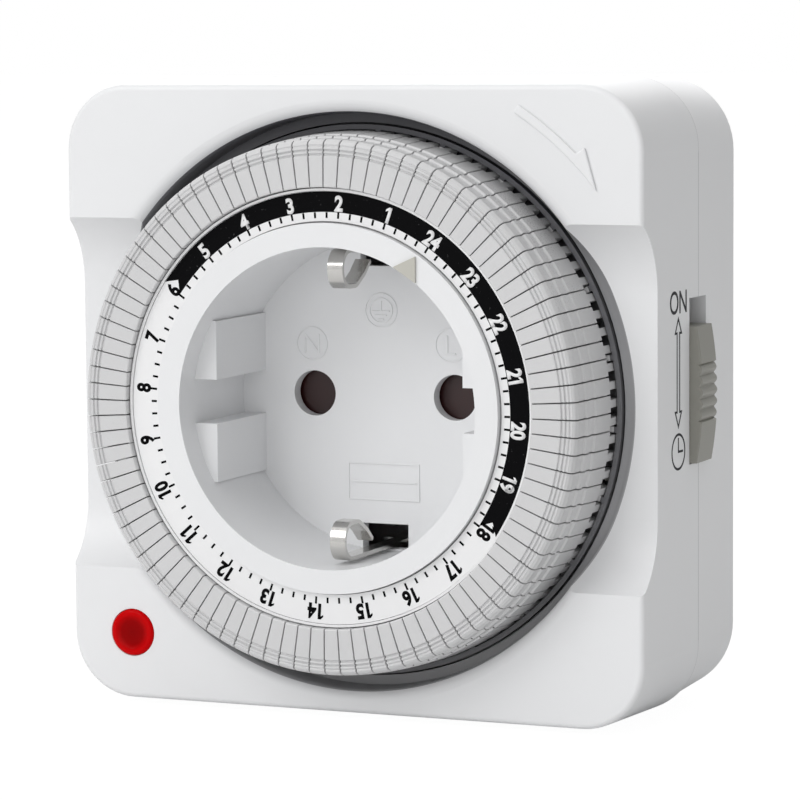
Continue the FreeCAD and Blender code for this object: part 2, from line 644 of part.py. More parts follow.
# Earth strap: one sheet with a sprung clip at each side of the socket and a strip on each plug flat
clip_rest = S.clip_gap_half + S.earth_sheet / 2
plug_strip = S.plug_flat_half + S.earth_sheet * 0.2


def earth_half(rise):
    """The clip arches from the wall towards the plug; the strip runs back through the case."""
    wall_line = S.earth_radius
    clip = [(S.clip_front, wall_line), (-2.9, wall_line), (-2.9, clip_rest), (0.8, clip_rest),
            (3.2, clip_rest + 1.3), (4.9, clip_rest + 2.7)]
    path = [(depth, rise * number_of(height)) for depth, height in clip]
    back = [(S.clip_front - 0.2, rise * number_of(wall_line)),
            (inner_rear - 2.6, rise * number_of(wall_line)),
            (inner_rear - 1.2, rise * number_of(plug_strip)),
            (plug_end - 1.6, rise * number_of(plug_strip))]
    width = S.clip_width
    back.reverse()
    front_clip = strip(path, S.earth_sheet * rise, width, "x", -width / 2, 1.85)
    back_strip = strip(back, S.earth_sheet * rise, S.plug_strip_width, "x", -S.plug_strip_width / 2)
    return front_clip.fuse(back_strip)


bridge_front = block_rear + S.part_gap
bridge = box(-S.clip_width / 2, S.clip_width / 2, bridge_front, bridge_front + S.earth_sheet,
             -S.earth_radius - S.earth_sheet / 2, S.earth_radius + S.earth_sheet / 2)
strap = earth_half(1).fuse([earth_half(-1), bridge])
shaped("earth_strap", strap.removeSplitter())

# Plug pins: round nosed, necked down to a rivet that holds the sheet metal strip
for label, side in (("plug_pin_live", 1), ("plug_pin_neutral", -1)):
    pin = body(label)
    tip = plug_end + S.pin_length
    turned(pin, [
        (0.0, strip_front - S.rivet_thick), (S.rivet_radius, strip_front - S.rivet_thick),
        (S.rivet_radius, strip_front), (S.neck_radius, strip_front), (S.neck_radius, inner_rear),
        (S.pin_shank, inner_rear), (S.pin_shank, plug_end), (S.pin_radius, plug_end),
        (S.pin_radius, tip - 1.2), (S.pin_radius - 0.5, tip - 0.3),
        (S.pin_radius - 1.2, tip), (0.0, tip)])
    pin.setExpression("Placement.Base.x", (side * half_spacing).words)

# Contact block behind the socket's floor
block = body("contact_block")
walls = outline(front_sketch(block, S.block_front), [
    (-S.block_half_width, -S.block_half_height), (S.block_half_width, -S.block_half_height),
    (S.block_half_width, S.block_half_height), (-S.block_half_width, S.block_half_height)])
pad(block, walls, block_rear - S.block_front)
for side in (-1, 1):
    middle = side * half_spacing
    room = outline(front_sketch(block, S.block_front), [
        (middle - S.clip_slot_half - S.clip_leaf - S.part_gap, -3.4),
        (middle + S.clip_slot_half + S.clip_leaf + S.part_gap, -3.4),
        (middle + S.clip_slot_half + S.clip_leaf + S.part_gap, 4.6),
        (middle - S.clip_slot_half - S.clip_leaf - S.part_gap, 4.6)])
    pocket(block, room, block_rear - S.block_front + S.cut_over)
holes = front_sketch(block, S.block_front)
for rise in (-1, 1):
    circle(holes, 0.0, rise * S.cup_screw_z, S.screw_radius)
pocket(block, holes, block_rear - S.block_front + S.cut_over)
spring_room = circle(front_sketch(block, S.block_front), 0.0, 0.0, S.pivot_radius + 2.0)
pocket(block, spring_room, 3 * S.cut_over)
pivot = circle(front_sketch(block, S.block_front - 1.9 * S.cut_over), 0.0, 0.0, S.pivot_radius)
pad(block, pivot, 6 * S.cut_over)
feet = front_sketch(block, block_rear)
for side in (-1, 1):
    for rise in (-1, 1):
        circle(feet, side * (S.block_half_width - 1.7), rise * (S.block_half_height - 1.7),
               S.pivot_radius / 1.2)
pad(block, feet, inner_rear - block_rear)
heads = front_sketch(block, block_rear)
for rise in (-1, 1):
    circle(heads, 0.0, rise * S.cup_screw_z, S.screw_radius + 0.9)
pocket(block, heads, 4 * S.cut_over, True)
tail_x = half_spacing + S.clip_slot_half + S.clip_leaf / 2
tail_way = outline(front_sketch(block, block_rear), [
    (tail_x - 0.6, -S.block_half_height - S.cut_over), (tail_x + 0.6, -S.block_half_height - S.cut_over),
    (tail_x + 0.6, -3.3), (tail_x - 0.6, -3.3)])
pocket(block, tail_way, 4.4 * S.cut_over, True)
bridge_way = outline(front_sketch(block, block_rear), [
    (-S.clip_width / 2 - S.part_gap, -S.block_half_height - S.cut_over),
    (S.clip_width / 2 + S.part_gap, -S.block_half_height - S.cut_over),
    (S.clip_width / 2 + S.part_gap, S.block_half_height + S.cut_over),
    (-S.clip_width / 2 - S.part_gap, S.block_half_height + S.cut_over)])
pocket(block, bridge_way, S.part_gap, True)

# Shutter that covers both pin holes and turns on the block's pivot, with its spring
shutter_rear = S.block_front - S.part_gap * 0.7
shutter = body("safety_shutter")
blade = outline(front_sketch(shutter, shutter_rear - S.shutter_thick), [
    (-S.shutter_reach + 1.2, -S.shutter_half), (S.shutter_reach - 1.2, -S.shutter_half),
    (S.shutter_reach, -S.shutter_half + 1.2), (S.shutter_reach, S.shutter_half - 1.2),
    (S.shutter_reach - 1.2, S.shutter_half), (-S.shutter_reach + 1.2, S.shutter_half),
    (-S.shutter_reach, S.shutter_half - 1.2), (-S.shutter_reach, -S.shutter_half + 1.2)])
pad(shutter, blade, S.shutter_thick)
bore = circle(front_sketch(shutter, shutter_rear - S.shutter_thick), 0.0, 0.0, S.pivot_radius + S.bearing_run)
pocket(shutter, bore, S.shutter_thick + S.cut_over)
spring_tube = rod(S.pivot_radius + 1.5, 0, 0, S.block_front + 0.2, S.block_front + 2.7).cut(
    rod(S.pivot_radius + 0.7, 0, 0, S.block_front, S.block_front + 3))
shaped("shutter_spring", spring_tube)

# Sheet metal contacts: each clip is a channel that grips a pin from both sides
clip_reach = S.clip_slot_half + S.clip_leaf / 2


def contact_clip(middle):
    middle = number_of(middle)
    reach = number_of(clip_reach)
    path = [(middle - reach, -2.6), (middle - reach, 3.8), (middle + reach, 3.8), (middle + reach, -2.6)]
    outer = strip(path, S.clip_leaf / 2, clip_length, "y", S.clip_front)
    inner = strip(path, -S.clip_leaf / 2, clip_length, "y", S.clip_front)
    return outer.fuse(inner)


def pierced(plate, x, z):
    """A strip with the hole that the pin's neck passes through."""
    return plate.cut(rod(S.neck_radius + S.pin_fit, x, z, 0, plug_end))


tail_rear = number_of(inner_rear)
tail_front = number_of(strip_front)
clip_end = number_of(S.clip_front + clip_length)
neutral_tail = box(-half_spacing - clip_reach - 0.3, -half_spacing - clip_reach + 0.3,
                   clip_end - 1, tail_rear, -2.4, 2.4)
neutral_plate = pierced(box(-half_spacing - clip_reach - 0.3, -half_spacing + 2.6, tail_front, tail_rear,
                            -2.4, 2.4), -half_spacing, 0)
shaped("neutral_strip", contact_clip(-half_spacing).fuse([neutral_tail, neutral_plate]).removeSplitter())

# Switch contacts: the feed strip carries the fixed contact, the load strip carries the arm's post
fixed_x = 17.9
arm_x = 22.6
arm_foot = -21.0
arm_tip = 3.0
switch_front = 18.6
switch_rear = 22.4
feed_plate = pierced(box(half_spacing - 2.6, fixed_x + 0.3, tail_front, tail_rear, -2.4, 2.4),
                     half_spacing, 0)
feed_post = box(fixed_x - 0.3, fixed_x + 0.3, switch_front, tail_rear, -2.4, 2.4)
feed_button = Part.makeCylinder(1.3, 0.5, Vector(fixed_x + 0.3, (switch_front + switch_rear) / 2, 0.6),
                                Vector(1, 0, 0))
shaped("live_feed_strip", feed_plate.fuse([feed_post, feed_button]).removeSplitter())
run_low = -16.6
run_high = -16.0
run_rear = number_of(clip_end - 0.4)
run_front = run_rear - 3.0
load_tail = box(half_spacing + clip_reach - 0.3, half_spacing + clip_reach + 0.3, run_front, run_rear,
                run_high, -2.5)
load_run = box(half_spacing + clip_reach - 0.3, arm_x + 1.1, run_front, run_rear, run_low, run_high)
load_post = box(arm_x + 0.5, arm_x + 1.1, switch_front, run_rear, arm_foot - 0.3, run_high)
load_strip = contact_clip(half_spacing).fuse([load_tail, load_run, load_post])
shaped("live_load_strip", load_strip.removeSplitter())

arm_leaf = box(arm_x - 0.2, arm_x + 0.2, switch_front, switch_rear, arm_foot - 0.3, arm_tip)
arm_button = Part.makeCylinder(1.3, 0.5, Vector(arm_x - 0.7, (switch_front + switch_rear) / 2, 0.6),
                               Vector(1, 0, 0))
shaped("contact_arm", arm_leaf.fuse(arm_button))

# Trip lever: a finger reaches through the well's window between two tabs of the dial
lever_x = float(S.lever_x)
lever_depth = float(S.lever_depth)
lever_z = float(finger_z)
lever_push = 19.0
finger_top = 6.7
finger_half = 0.28
finger = Part.makeBox(1.2, 4.5, 2 * finger_half, Vector(-0.6, 0, -finger_half))
finger.Placement = Placement(Vector(float(finger_x), finger_top, lever_z),
                             Rotation(Vector(0, -1, 0), float(finger_turn)))
lever_arm = box(lever_x, finger_x + 0.7, lever_depth - 0.7, lever_depth + 0.7, lever_z - 0.9, lever_z + 0.9)
lever_hub = Part.makeCylinder(1.6, float(S.lever_width),
                              Vector(lever_x, lever_depth, lever_z - float(lever_half)), Vector(0, 0, 1))
lever_leg = box(lever_x - 0.8, lever_x + 0.8, lever_depth, lever_push + 0.6, lever_z - 0.9, lever_z + 0.9)
lever_nose = box(arm_x + 0.5, lever_x + 0.8, lever_push - 0.6, lever_push + 0.6, lever_z - 0.9, lever_z + 0.9)
lever = lever_arm.fuse([lever_hub, lever_leg, lever_nose, finger])
lever = lever.cut(Part.makeCylinder(float(S.lever_pin_radius + S.bearing_run), 8,
                                    Vector(lever_x, lever_depth, lever_z - 4), Vector(0, 0, 1)))
shaped("trip_lever", lever)
pin_length = float(S.lever_width) + 2.6
lever_pin = Part.makeCylinder(float(S.lever_pin_radius), pin_length,
                              Vector(lever_x, lever_depth, lever_z - pin_length / 2), Vector(0, 0, 1))
shaped("lever_pin", lever_pin)

# Dial wheel: hub that runs on the socket cup, web, drum, and flange with a slot for each hour's tabs
dial = body("dial_wheel")
drum_outer = S.lip_outer
drum_inner = drum_outer - S.drum_wall
turned(dial, [
    (hub_bore, hub_front), (hub_outer, hub_front), (hub_outer, web_front), (S.scale_outer + 0.05, web_front),
    (S.scale_outer + 0.05, -S.scale_front - S.lip_height), (drum_outer, -S.scale_front - S.lip_height),
    (drum_outer, S.flange_front), (S.flange_radius, S.flange_front), (S.flange_radius, flange_rear),
    (drum_outer, flange_rear), (drum_outer, S.well_depth - S.part_gap),
    (drum_inner, S.well_depth - S.part_gap),
    (drum_inner, web_front + S.dial_web), (hub_outer, web_front + S.dial_web),
    (hub_outer, gear_rear), (hub_bore, gear_rear)])
slot_inner = S.tappet_outer - S.tappet_plate - S.part_gap
slot_outer = S.flange_radius - S.rim_wall
pitch = float(S.quarter_angle)
rib_turn = 0.6
spots = []
for radius in (slot_outer, slot_inner):
    row = []
    for step in range(5):
        trim = {0: rib_turn, 4: -rib_turn}.get(step, 0.0)
        row.append(polar(radius, S.hour_zero_angle + step * S.quarter_angle + trim))
    spots.extend(row if radius is slot_outer else reversed(row))
slot_sketch = outline(front_sketch(dial, S.flange_front - S.cut_over), spots)
hour_slot = pocket(dial, slot_sketch, S.flange_thick + 2 * S.cut_over)
hour_slots = dial.newObject("PartDesign::PolarPattern", "hour_slots")
hour_slots.Originals = [hour_slot]
hour_slots.Axis = ([p for p in dial.Origin.OriginFeatures if p.Role == "Y_Axis"][0], [""])
hour_slots.Angle = 360
hour_slots.Occurrences = 24
dial.Tip = hour_slots
doc.recompute()


def gear_face(teeth, thinning, first_tooth):
    """A spur gear's outline: involute flanks, with the tooth thinned at the pitch circle."""
    pitch_radius = float(S.gear_pitch) * teeth / 2
    base_radius = pitch_radius * math.cos(math.radians(20))
    tip = pitch_radius + 0.8 * float(S.gear_pitch)
    low = pitch_radius - 1.15 * float(S.gear_pitch)
    flank_start = max(base_radius, low)
    half_tooth = math.pi / (2 * teeth) - thinning / (2 * pitch_radius)
    rise = math.tan(math.radians(20)) - math.radians(20)
    flank = [(low, None)] if low < flank_start else []
    for step in range(4):
        radius = flank_start + (tip - flank_start) * step / 3
        press = math.acos(base_radius / radius)
        flank.append((radius, half_tooth + rise - (math.tan(press) - press)))
    if flank[0][1] is None:
        flank[0] = (low, flank[1][1])
    spots = []
    for tooth in range(teeth):
        middle = math.radians(first_tooth) + 2 * math.pi * tooth / teeth
        for radius, half in flank:
            spots.append((radius, middle - half))
        for radius, half in reversed(flank):
            spots.append((radius, middle + half))
    points = [Vector(r * math.cos(a), 0, r * math.sin(a)) for r, a in spots]
    return Part.Face(Part.makePolygon(points + [points[0]]))


ring_teeth = round(float(S.dial_teeth))
gear = gear_face(ring_teeth, float(S.gear_backlash), 180.0 + 180.0 / ring_teeth)
gear.translate(Vector(0, float(S.gear_front), 0))
gear = gear.extrude(Vector(0, float(S.gear_width), 0))
shaped("ring_gear", gear.cut(rod(hub_outer + 0.02, 0, 0, 0, 40)))

ring = body("scale_ring")
turned(ring, [(S.scale_inner, -S.scale_front), (S.scale_outer, -S.scale_front),
              (S.scale_outer, web_front), (S.scale_inner, web_front)])

# Drive pinion on the motor's output shaft
small_teeth = round(float(S.pinion_teeth))
small = gear_face(small_teeth, float(S.gear_backlash), 0.0)
small.translate(Vector(0, float(S.gear_front), 0))
small = small.extrude(Vector(0, float(S.gear_width), 0))
shaft_front = cavity_front - S.well_floor + 2 * S.part_gap
shaft_rear = S.motor_front + 0.8
pinion = small.fuse(rod(S.shaft_radius, 0, 0, shaft_front, shaft_rear))
pinion.translate(Vector(-float(centre_distance), 0, 0))
shaped("drive_pinion", pinion)

# Synchronous motor: gearbox in front, can with a coil and a rotor behind
motor_x = -float(centre_distance)
gearbox_rear = S.motor_front + S.gearbox_depth
gearbox = rod(motor_radius, motor_x, 0, S.motor_front, gearbox_rear)
gearbox = gearbox.cut(rod(S.shaft_radius + S.bearing_run, motor_x, 0, 0, shaft_rear + S.part_gap))
shaped("motor_gearbox", gearbox)
can = rod(motor_radius, motor_x, 0, gearbox_rear, motor_rear)
can = can.cut(rod(motor_radius - 0.5, motor_x, 0, gearbox_rear, motor_rear - 0.5))
spindle = rod(0.5, motor_x, 0, gearbox_rear, motor_rear)
shaped("motor_can", can.fuse(spindle))
coil_outer = motor_radius - 0.6
coil = rod(coil_outer, motor_x, 0, gearbox_rear + S.part_gap, motor_rear - 0.9)
shaped("motor_coil", coil.cut(rod(rotor_radius + 0.6, motor_x, 0, 0, 40)))
rotor = rod(rotor_radius, motor_x, 0, gearbox_rear + S.part_gap, motor_rear - 0.9)
shaped("motor_rotor", rotor.cut(rod(0.55, motor_x, 0, 0, 40)))

# Tappets: four to the hour, each a wedge shaped cap with a tab that reaches through the flange
shoulder_drop = 0.87
side_gap = float(S.tappet_gap) / 2
half_pitch = math.radians(pitch / 2)


def tappet():
    """One tappet, lying along +X."""
    front_y = -float(S.tappet_front)
    inner, outer = float(S.tappet_inner), float(S.tappet_outer)
    shoulder, skirt = float(S.tappet_shoulder), float(S.tappet_skirt)
    plate = front_y + float(S.tappet_plate)
    wall = float(S.tappet_plate)
    spots = [(inner, front_y), (shoulder - 0.6, front_y), (shoulder, front_y + shoulder_drop),
             (shoulder + 0.27, front_y + shoulder_drop + 2.1), (outer, skirt), (outer - wall, skirt),
             (shoulder - wall, plate), (inner + wall, plate), (inner + wall, skirt - 1.6),
             (inner, skirt - 1.6)]
    points = [Vector(r, s, -3) for r, s in spots]
    bar = Part.Face(Part.makePolygon(points + [points[0]])).extrude(Vector(0, 0, 6))
    near, far = inner - 1, outer + 1
    edge = [(near, near * math.tan(half_pitch) - side_gap), (far, far * math.tan(half_pitch) - side_gap)]
    plan = [Vector(r, -20, z) for r, z in edge] + [Vector(r, -20, -z) for r, z in reversed(edge)]
    wedge = Part.Face(Part.makePolygon(plan + [plan[0]])).extrude(Vector(0, 40, 0))
    cap = bar.common(wedge)
    tab_half = 0.45 * (outer - 0.5) * half_pitch
    tab = Part.makeBox(float(S.tab_thick), float(S.tab_end) - skirt + 0.6, 2 * tab_half,
                       Vector(outer - wall, skirt - 0.6, -tab_half))
    return cap.fuse(tab).removeSplitter()


one_tappet = tappet()
for hour in range(1, 25):
    group = []
    for quarter in range(4):
        turn = float(S.hour_zero_angle) + 15.0 * hour + pitch * (quarter + 0.5)
        piece = one_tappet.copy()
        piece.Placement = Placement(Vector(), Rotation(Vector(0, -1, 0), turn))
        group.append(piece)
    shaped("tappets_hour_%02d" % hour, Part.makeCompound(group))

# Override knob: grip outside, stem through the slot, plate and actuator inside
outer_side = float(split_half_width)
inner_wall = float(inner_side - S.wall / 4)
low, high = float(knob_bottom), float(knob_top)
middle = (low + high) / 2
crown = outer_side + float(S.knob_proud)
shoulder = crown - float(S.knob_swell)
swell = Part.Arc(Vector(shoulder, 0, low), Vector(crown, 0, middle), Vector(shoulder, 0, high)).toShape()
back = Part.makePolygon([Vector(shoulder, 0, high), Vector(inner_wall - 0.6, 0, high),
                         Vector(inner_wall - 0.6, 0, low), Vector(shoulder, 0, low)])
stem_half = float(S.slot_half - S.knob_gap)
grip = Part.Face(Part.Wire([swell] + back.Edges)).extrude(Vector(0, 2 * stem_half, 0))
grip.translate(Vector(0, float(slot_centre) - stem_half, 0))
plate_rear = inner_wall - 0.3
knob_plate = box(plate_rear - 1.3, plate_rear, slot_centre - S.slot_half - 1.1,
                 slot_centre + S.slot_half + 1.1, low - 1.4, high + 1.4)
actuator = box(25.9, plate_rear - 0.5, 19.6, 21.4, 4.2, 6.0)
shaped("override_knob", grip.fuse([knob_plate, actuator]).removeSplitter())

# Lamp behind its lens, with the resistor in its live lead
lamp_x, lamp_z = -float(S.lamp_x), float(S.dial_drop - S.lamp_z)
lens = body("lamp_lens")
turned(lens, [(0.0, -S.lens_proud), (S.lens_radius - 0.4, -S.lens_proud),
              (S.lens_radius, 0.05 - S.lens_proud / 2),
              (S.lens_radius, S.face_wall), (S.lens_flange, S.face_wall),
              (S.lens_flange, S.face_wall + 0.8), (0.0, S.face_wall + 0.8)])
lens.setExpression("Placement.Base.x", (-S.lamp_x).words)
lens.setExpression("Placement.Base.z", (S.dial_drop - S.lamp_z).words)
neon = body("neon_lamp")
neon_front = S.face_wall + 0.8 + S.part_gap / 3
turned(neon, [(0.0, neon_front), (S.neon_radius - 1.2, neon_front), (S.neon_radius, neon_front + 1.2),
              (S.neon_radius, neon_front + S.neon_length), (0.0, neon_front + S.neon_length)])
neon.setExpression("Placement.Base.x", (-S.lamp_x).words)
neon.setExpression("Placement.Base.z", (S.dial_drop - S.lamp_z).words)
lamp_rear = float(neon_front + S.neon_length)
resistor_start = lamp_rear + 3
resistor_x = lamp_x + 1.0
resistor_z = lamp_z + 1.0
shaped("lamp_resistor", rod(1.1, resistor_x, resistor_z, resistor_start, resistor_start + 6))


def wire(points, radius):
    """A round wire through (x, depth, z) points, with a ball at each bend."""
    spots = [Vector(*[float(value) for value in point]) for point in points]
    solids = []
    for place in range(len(spots) - 1):
        way = spots[place + 1] - spots[place]
        solids.append(Part.makeCylinder(radius, way.Length, spots[place], way))
    for spot in spots[1:-1]:
        solids.append(Part.makeSphere(radius, spot))
    return solids[0].fuse(solids[1:])


thin = 0.3
behind_block = float(block_rear + inner_rear) / 2
lead_depth = float(block_rear) - 4.3
load_depth = float(block_rear) - 2.6
shaped("lamp_lead_neutral", wire([
    (lamp_x - 0.8, lamp_rear + 0.1, lamp_z), (lamp_x - 0.8, lead_depth, lamp_z),
    (-16.0, lead_depth + 2.0, -22.0),
    (-10.2, behind_block, -12.0), (-10.2, behind_block, -2.8)], thin))
load_touch = half_spacing + clip_reach
shaped("lamp_lead_live", wire([
    (lamp_x + 0.8, lamp_rear + 0.3, lamp_z + 0.2), (resistor_x, resistor_start - 0.3, resistor_z)], thin))
shaped("lamp_lead_load", wire([
    (resistor_x, resistor_start + 6.1, resistor_z), (resistor_x, load_depth - 3.7, resistor_z),
    (-14.0, load_depth - 1.1, lamp_z + 3.0), (8.0, load_depth, lamp_z + 5.0),
    (load_touch, load_depth, -17.8), (load_touch, load_depth, -17.0)], thin))
thick = 0.4
rim = math.sqrt(0.5) * float(motor_radius)
motor_lead_depth = float(block_rear) - 8.3
shaped("motor_lead_neutral", wire([
    (motor_x + rim, motor_lead_depth, -rim - 0.7), (-16.5, motor_lead_depth + 2.0, -11.8),
    (-8.4, behind_block, -12.8),
    (-8.4, behind_block, -3.0)], thick))
shaped("motor_lead_live", wire([
    (motor_x + rim, motor_lead_depth, rim + 0.7), (motor_x + rim + 3.0, motor_lead_depth + 2.0, rim + 6.0),
    (16.0, motor_lead_depth + 3.0, 13.0), (fixed_x, motor_lead_depth + 3.0, 5.0),
    (fixed_x, motor_lead_depth + 3.0, 3.0)], thick))

# Screws that hold the two housings together, and the two that hold the cup on the contact block
screws = []
seat = case_depth - S.screw_sink
for side, rise in ((-1, -1), (1, -1), (1, 1), (-1, 1)):
    x = side * S.boss_x
    z = S.dial_drop + rise * S.boss_z
    shank = rod(S.screw_radius, x, z, seat - S.screw_length, seat)
    screw = rod(S.screw_head, x, z, seat, seat + 1.8).fuse(shank)
    drive = rod(0.9, x, z, seat + 0.8, seat + 2)
    screws.append(screw.cut(drive))
shaped("housing_screws", Part.makeCompound(screws))
screws = []
cup_seat = block_rear - 4.0
for rise in (-1, 1):
    z = rise * S.cup_screw_z
    shank = rod(S.screw_radius * 0.75, 0, z, cup_rear - 0.2, cup_seat)
    screw = rod(2.0, 0, z, cup_seat, cup_seat + 1.3).fuse(shank)
    screws.append(screw.cut(rod(0.7, 0, z, cup_seat + 0.6, cup_seat + 2)))
shaped("cup_screws", Part.makeCompound(screws))

# Every feature is checked, then each sub-part is written out under its own name
os.makedirs("parts", exist_ok=True)
doc.recompute()
faults = []
for owner_name, made, adds in checks:
    if made.Shape.isNull():
        faults.append("%s %s makes no shape" % (owner_name, made.Name))
        continue
    before = made.BaseFeature.Shape.Volume if made.BaseFeature else 0.0
    change = made.Shape.Volume - before
    if (change > 0) != adds or abs(change) < 1e-3:
        faults.append("%s %s changes the volume by %.3f" % (owner_name, made.Name, change))
for item in doc.Objects:
    if "Invalid" in item.State or "Error" in item.State:
        faults.append("%s is %s" % (item.Name, item.State))
for piece in parts:
    shape = piece.Shape
    if shape.isNull() or not shape.isValid() or not shape.Solids or shape.Volume <= 0:
        faults.append("%s has no sound solid" % piece.Label)
if faults:
    raise RuntimeError("; ".join(faults))
for piece in parts:
    shape = piece.Shape
    shape.exportStep("parts/%s.step" % piece.Label)
    room = shape.BoundBox
    print("%-22s %d solids %9.2f mm3  x %7.2f %7.2f  y %7.2f %7.2f  z %7.2f %7.2f" % (
        piece.Label, len(shape.Solids), shape.Volume, room.XMin, room.XMax,
        room.YMin, room.YMax, room.ZMin, room.ZMax))
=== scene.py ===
import json
import math

import bmesh
import bpy
from mathutils import Matrix, Vector


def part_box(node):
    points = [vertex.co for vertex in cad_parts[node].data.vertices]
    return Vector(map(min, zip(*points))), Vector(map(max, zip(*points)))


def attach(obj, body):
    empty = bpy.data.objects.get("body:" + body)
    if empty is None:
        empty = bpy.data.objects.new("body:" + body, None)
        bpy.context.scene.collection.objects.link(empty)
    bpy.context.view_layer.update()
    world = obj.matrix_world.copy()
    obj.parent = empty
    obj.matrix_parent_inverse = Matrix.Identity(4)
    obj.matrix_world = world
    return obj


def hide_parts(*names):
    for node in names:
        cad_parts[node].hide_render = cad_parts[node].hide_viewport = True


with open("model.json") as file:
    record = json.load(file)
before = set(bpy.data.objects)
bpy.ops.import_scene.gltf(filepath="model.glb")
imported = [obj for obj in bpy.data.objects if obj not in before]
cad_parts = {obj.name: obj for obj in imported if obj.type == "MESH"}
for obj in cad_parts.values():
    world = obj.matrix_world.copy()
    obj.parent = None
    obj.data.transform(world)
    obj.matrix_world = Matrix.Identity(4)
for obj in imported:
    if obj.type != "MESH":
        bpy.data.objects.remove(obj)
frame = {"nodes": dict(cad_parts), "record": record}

bl_info = {
    "name": "Plug-in Timer Dresser",
    "version": (1, 0, 0),
    "blender": (4, 5, 0),
    "location": "View3D > Sidebar > Timer",
    "description": "Builds the printed, moulded and gripped details of a plug-in timer around its solids",
    "category": "Object",
}

MM = 0.001
TURN_BACK = Matrix.Rotation(math.pi / 2, 4, "X")
HOURS = 24
QUARTERS = 4

# Points nearer than this are joined, and edges that turn by more than this, in radians, are bevelled
MERGE_DISTANCE = 1e-7
SHARP_ANGLE = 0.5

# Where the solids put the case, the dial, the socket, the lens and the slide, in metres
CASE_LOW, CASE_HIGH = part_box("front_housing")
CASE_MIDDLE = (CASE_LOW[2] + CASE_HIGH[2]) / 2
FACE_DEPTH = CASE_LOW[1]
SEAM_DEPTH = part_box("rear_housing")[0][1]
SCALE_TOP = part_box("scale_ring")[0][1]
COLLAR_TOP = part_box("socket_cup")[0][1]
LENS_LOW, LENS_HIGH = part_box("lamp_lens")
LENS_X, LENS_Z = ((LENS_LOW[axis] + LENS_HIGH[axis]) / 2 for axis in (0, 2))
KNOB_LOW, KNOB_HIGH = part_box("override_knob")

# Sizes of the solids that no box tells
SOCKET_DEPTH = 18.05 * MM
WELL_DEPTH = 9.0 * MM
WELL_RADIUS = 35.5 * MM
FLANGE_RADIUS = 32.9 * MM
HALF_FACE = 38.1 * MM
SIDE_DRAFT = math.radians(2.4)


def size_prop(name, about, value, **more):
    """A length in metres, given in millimetres."""
    return bpy.props.FloatProperty(name=name, description=about, default=value * MM,
                                   unit="LENGTH", precision=5, **more)


def colour_prop(name, about, value):
    """A colour as red, green and blue, from 0 to 1."""
    return bpy.props.FloatVectorProperty(name=name, description=about, default=value, size=3,
                                         subtype="COLOR", min=0.0, max=1.0)


class TimerSizes(bpy.types.PropertyGroup):
    """Sizes of the dial's tappets, its print, the raised signs and the grip"""

    first_hour_turn: bpy.props.FloatProperty(
        name="First Hour", description="Angle of the 24 o'clock mark, from the right", unit="ROTATION",
        default=math.radians(55.8))
    tappet_inner: size_prop("Tappet Inner", "Radius of a tappet's inner edge", 26.62)
    tappet_top: size_prop("Tappet Top", "Distance of a tappet's top in front of the face", 7.07)
    tappet_slit: bpy.props.FloatProperty(
        name="Tappet Slit", description="Angle left open between two tappets", unit="ROTATION",
        default=math.radians(0.29))
    tick_inner: size_prop("Tick Inner", "Radius where the ticks start", 22.92)
    tick_outer: size_prop("Tick Outer", "Radius where the quarter ticks end", 23.62)
    hour_tick_outer: size_prop("Hour Tick Outer", "Radius where the hour ticks end", 23.8)
    tick_width: size_prop("Tick Width", "Width of a tick", 0.26)
    night_inner: size_prop("Night Band Inner", "Inner radius of the black night band", 23.66)
    night_outer: size_prop("Night Band Outer", "Outer radius of the black night band", 26.12)
    numeral_radius: size_prop("Numeral Radius", "Radius of the numerals' middles", 24.72)
    numeral_height: size_prop("Numeral Height", "Height of a numeral", 1.95)
    print_thickness: size_prop("Print Thickness", "How far print stands off its surface", 0.02)
    sign_height: size_prop("Sign Height", "How far the raised signs stand off the plastic", 0.14)
    arrow_height: size_prop("Arrow Height", "How far the face arrow stands off the face", 0.4)
    ridge_pitch: size_prop("Ridge Pitch", "Spacing of the ridges on the grip", 1.41)
    ridge_depth: size_prop("Ridge Depth", "Depth of the valleys between the ridges", 0.42)
    grip_swell: size_prop("Grip Swell", "How far the grip's ends lie below its crown", 0.75)


class TimerColours(bpy.types.PropertyGroup):
    """Colours of the plastics, the print and the metal, and the greys of painted shade in the well"""

    case: colour_prop("Case", "White moulded case", (0.80, 0.805, 0.815))
    cup: colour_prop("Socket", "White moulded socket cup", (0.80, 0.805, 0.815))
    dial: colour_prop("Dial", "White dial wheel and scale", (0.84, 0.84, 0.845))
    # Painted shade: the well and the dial's rim are white solids, and these greys paint their shade, darkest
    # high up above the dial
    well: colour_prop("Well", "Grey of the well around the dial", (0.34, 0.34, 0.35))
    well_top: colour_prop("Well Top", "Grey of the well above the dial", (0.07, 0.07, 0.08))
    flange: colour_prop("Flange", "Grey of the dial's rim", (0.16, 0.16, 0.17))
    tappet: colour_prop("Tappets", "Light grey tappets", (0.62, 0.62, 0.625))
    pointer: colour_prop("Pointer", "Grey time pointer", (0.50, 0.49, 0.44))
    knob: colour_prop("Slide", "Grey override slide", (0.27, 0.265, 0.235))
    ink: colour_prop("Ink", "Black print", (0.002, 0.002, 0.0025))
    mark: colour_prop("Side Marks", "Grey print on the side", (0.05, 0.05, 0.055))
    lens: colour_prop("Lens", "Red lamp lens", (0.50, 0.001, 0.002))
    shutter: colour_prop("Shutter", "Dark red shutter", (0.022, 0.0015, 0.0015))


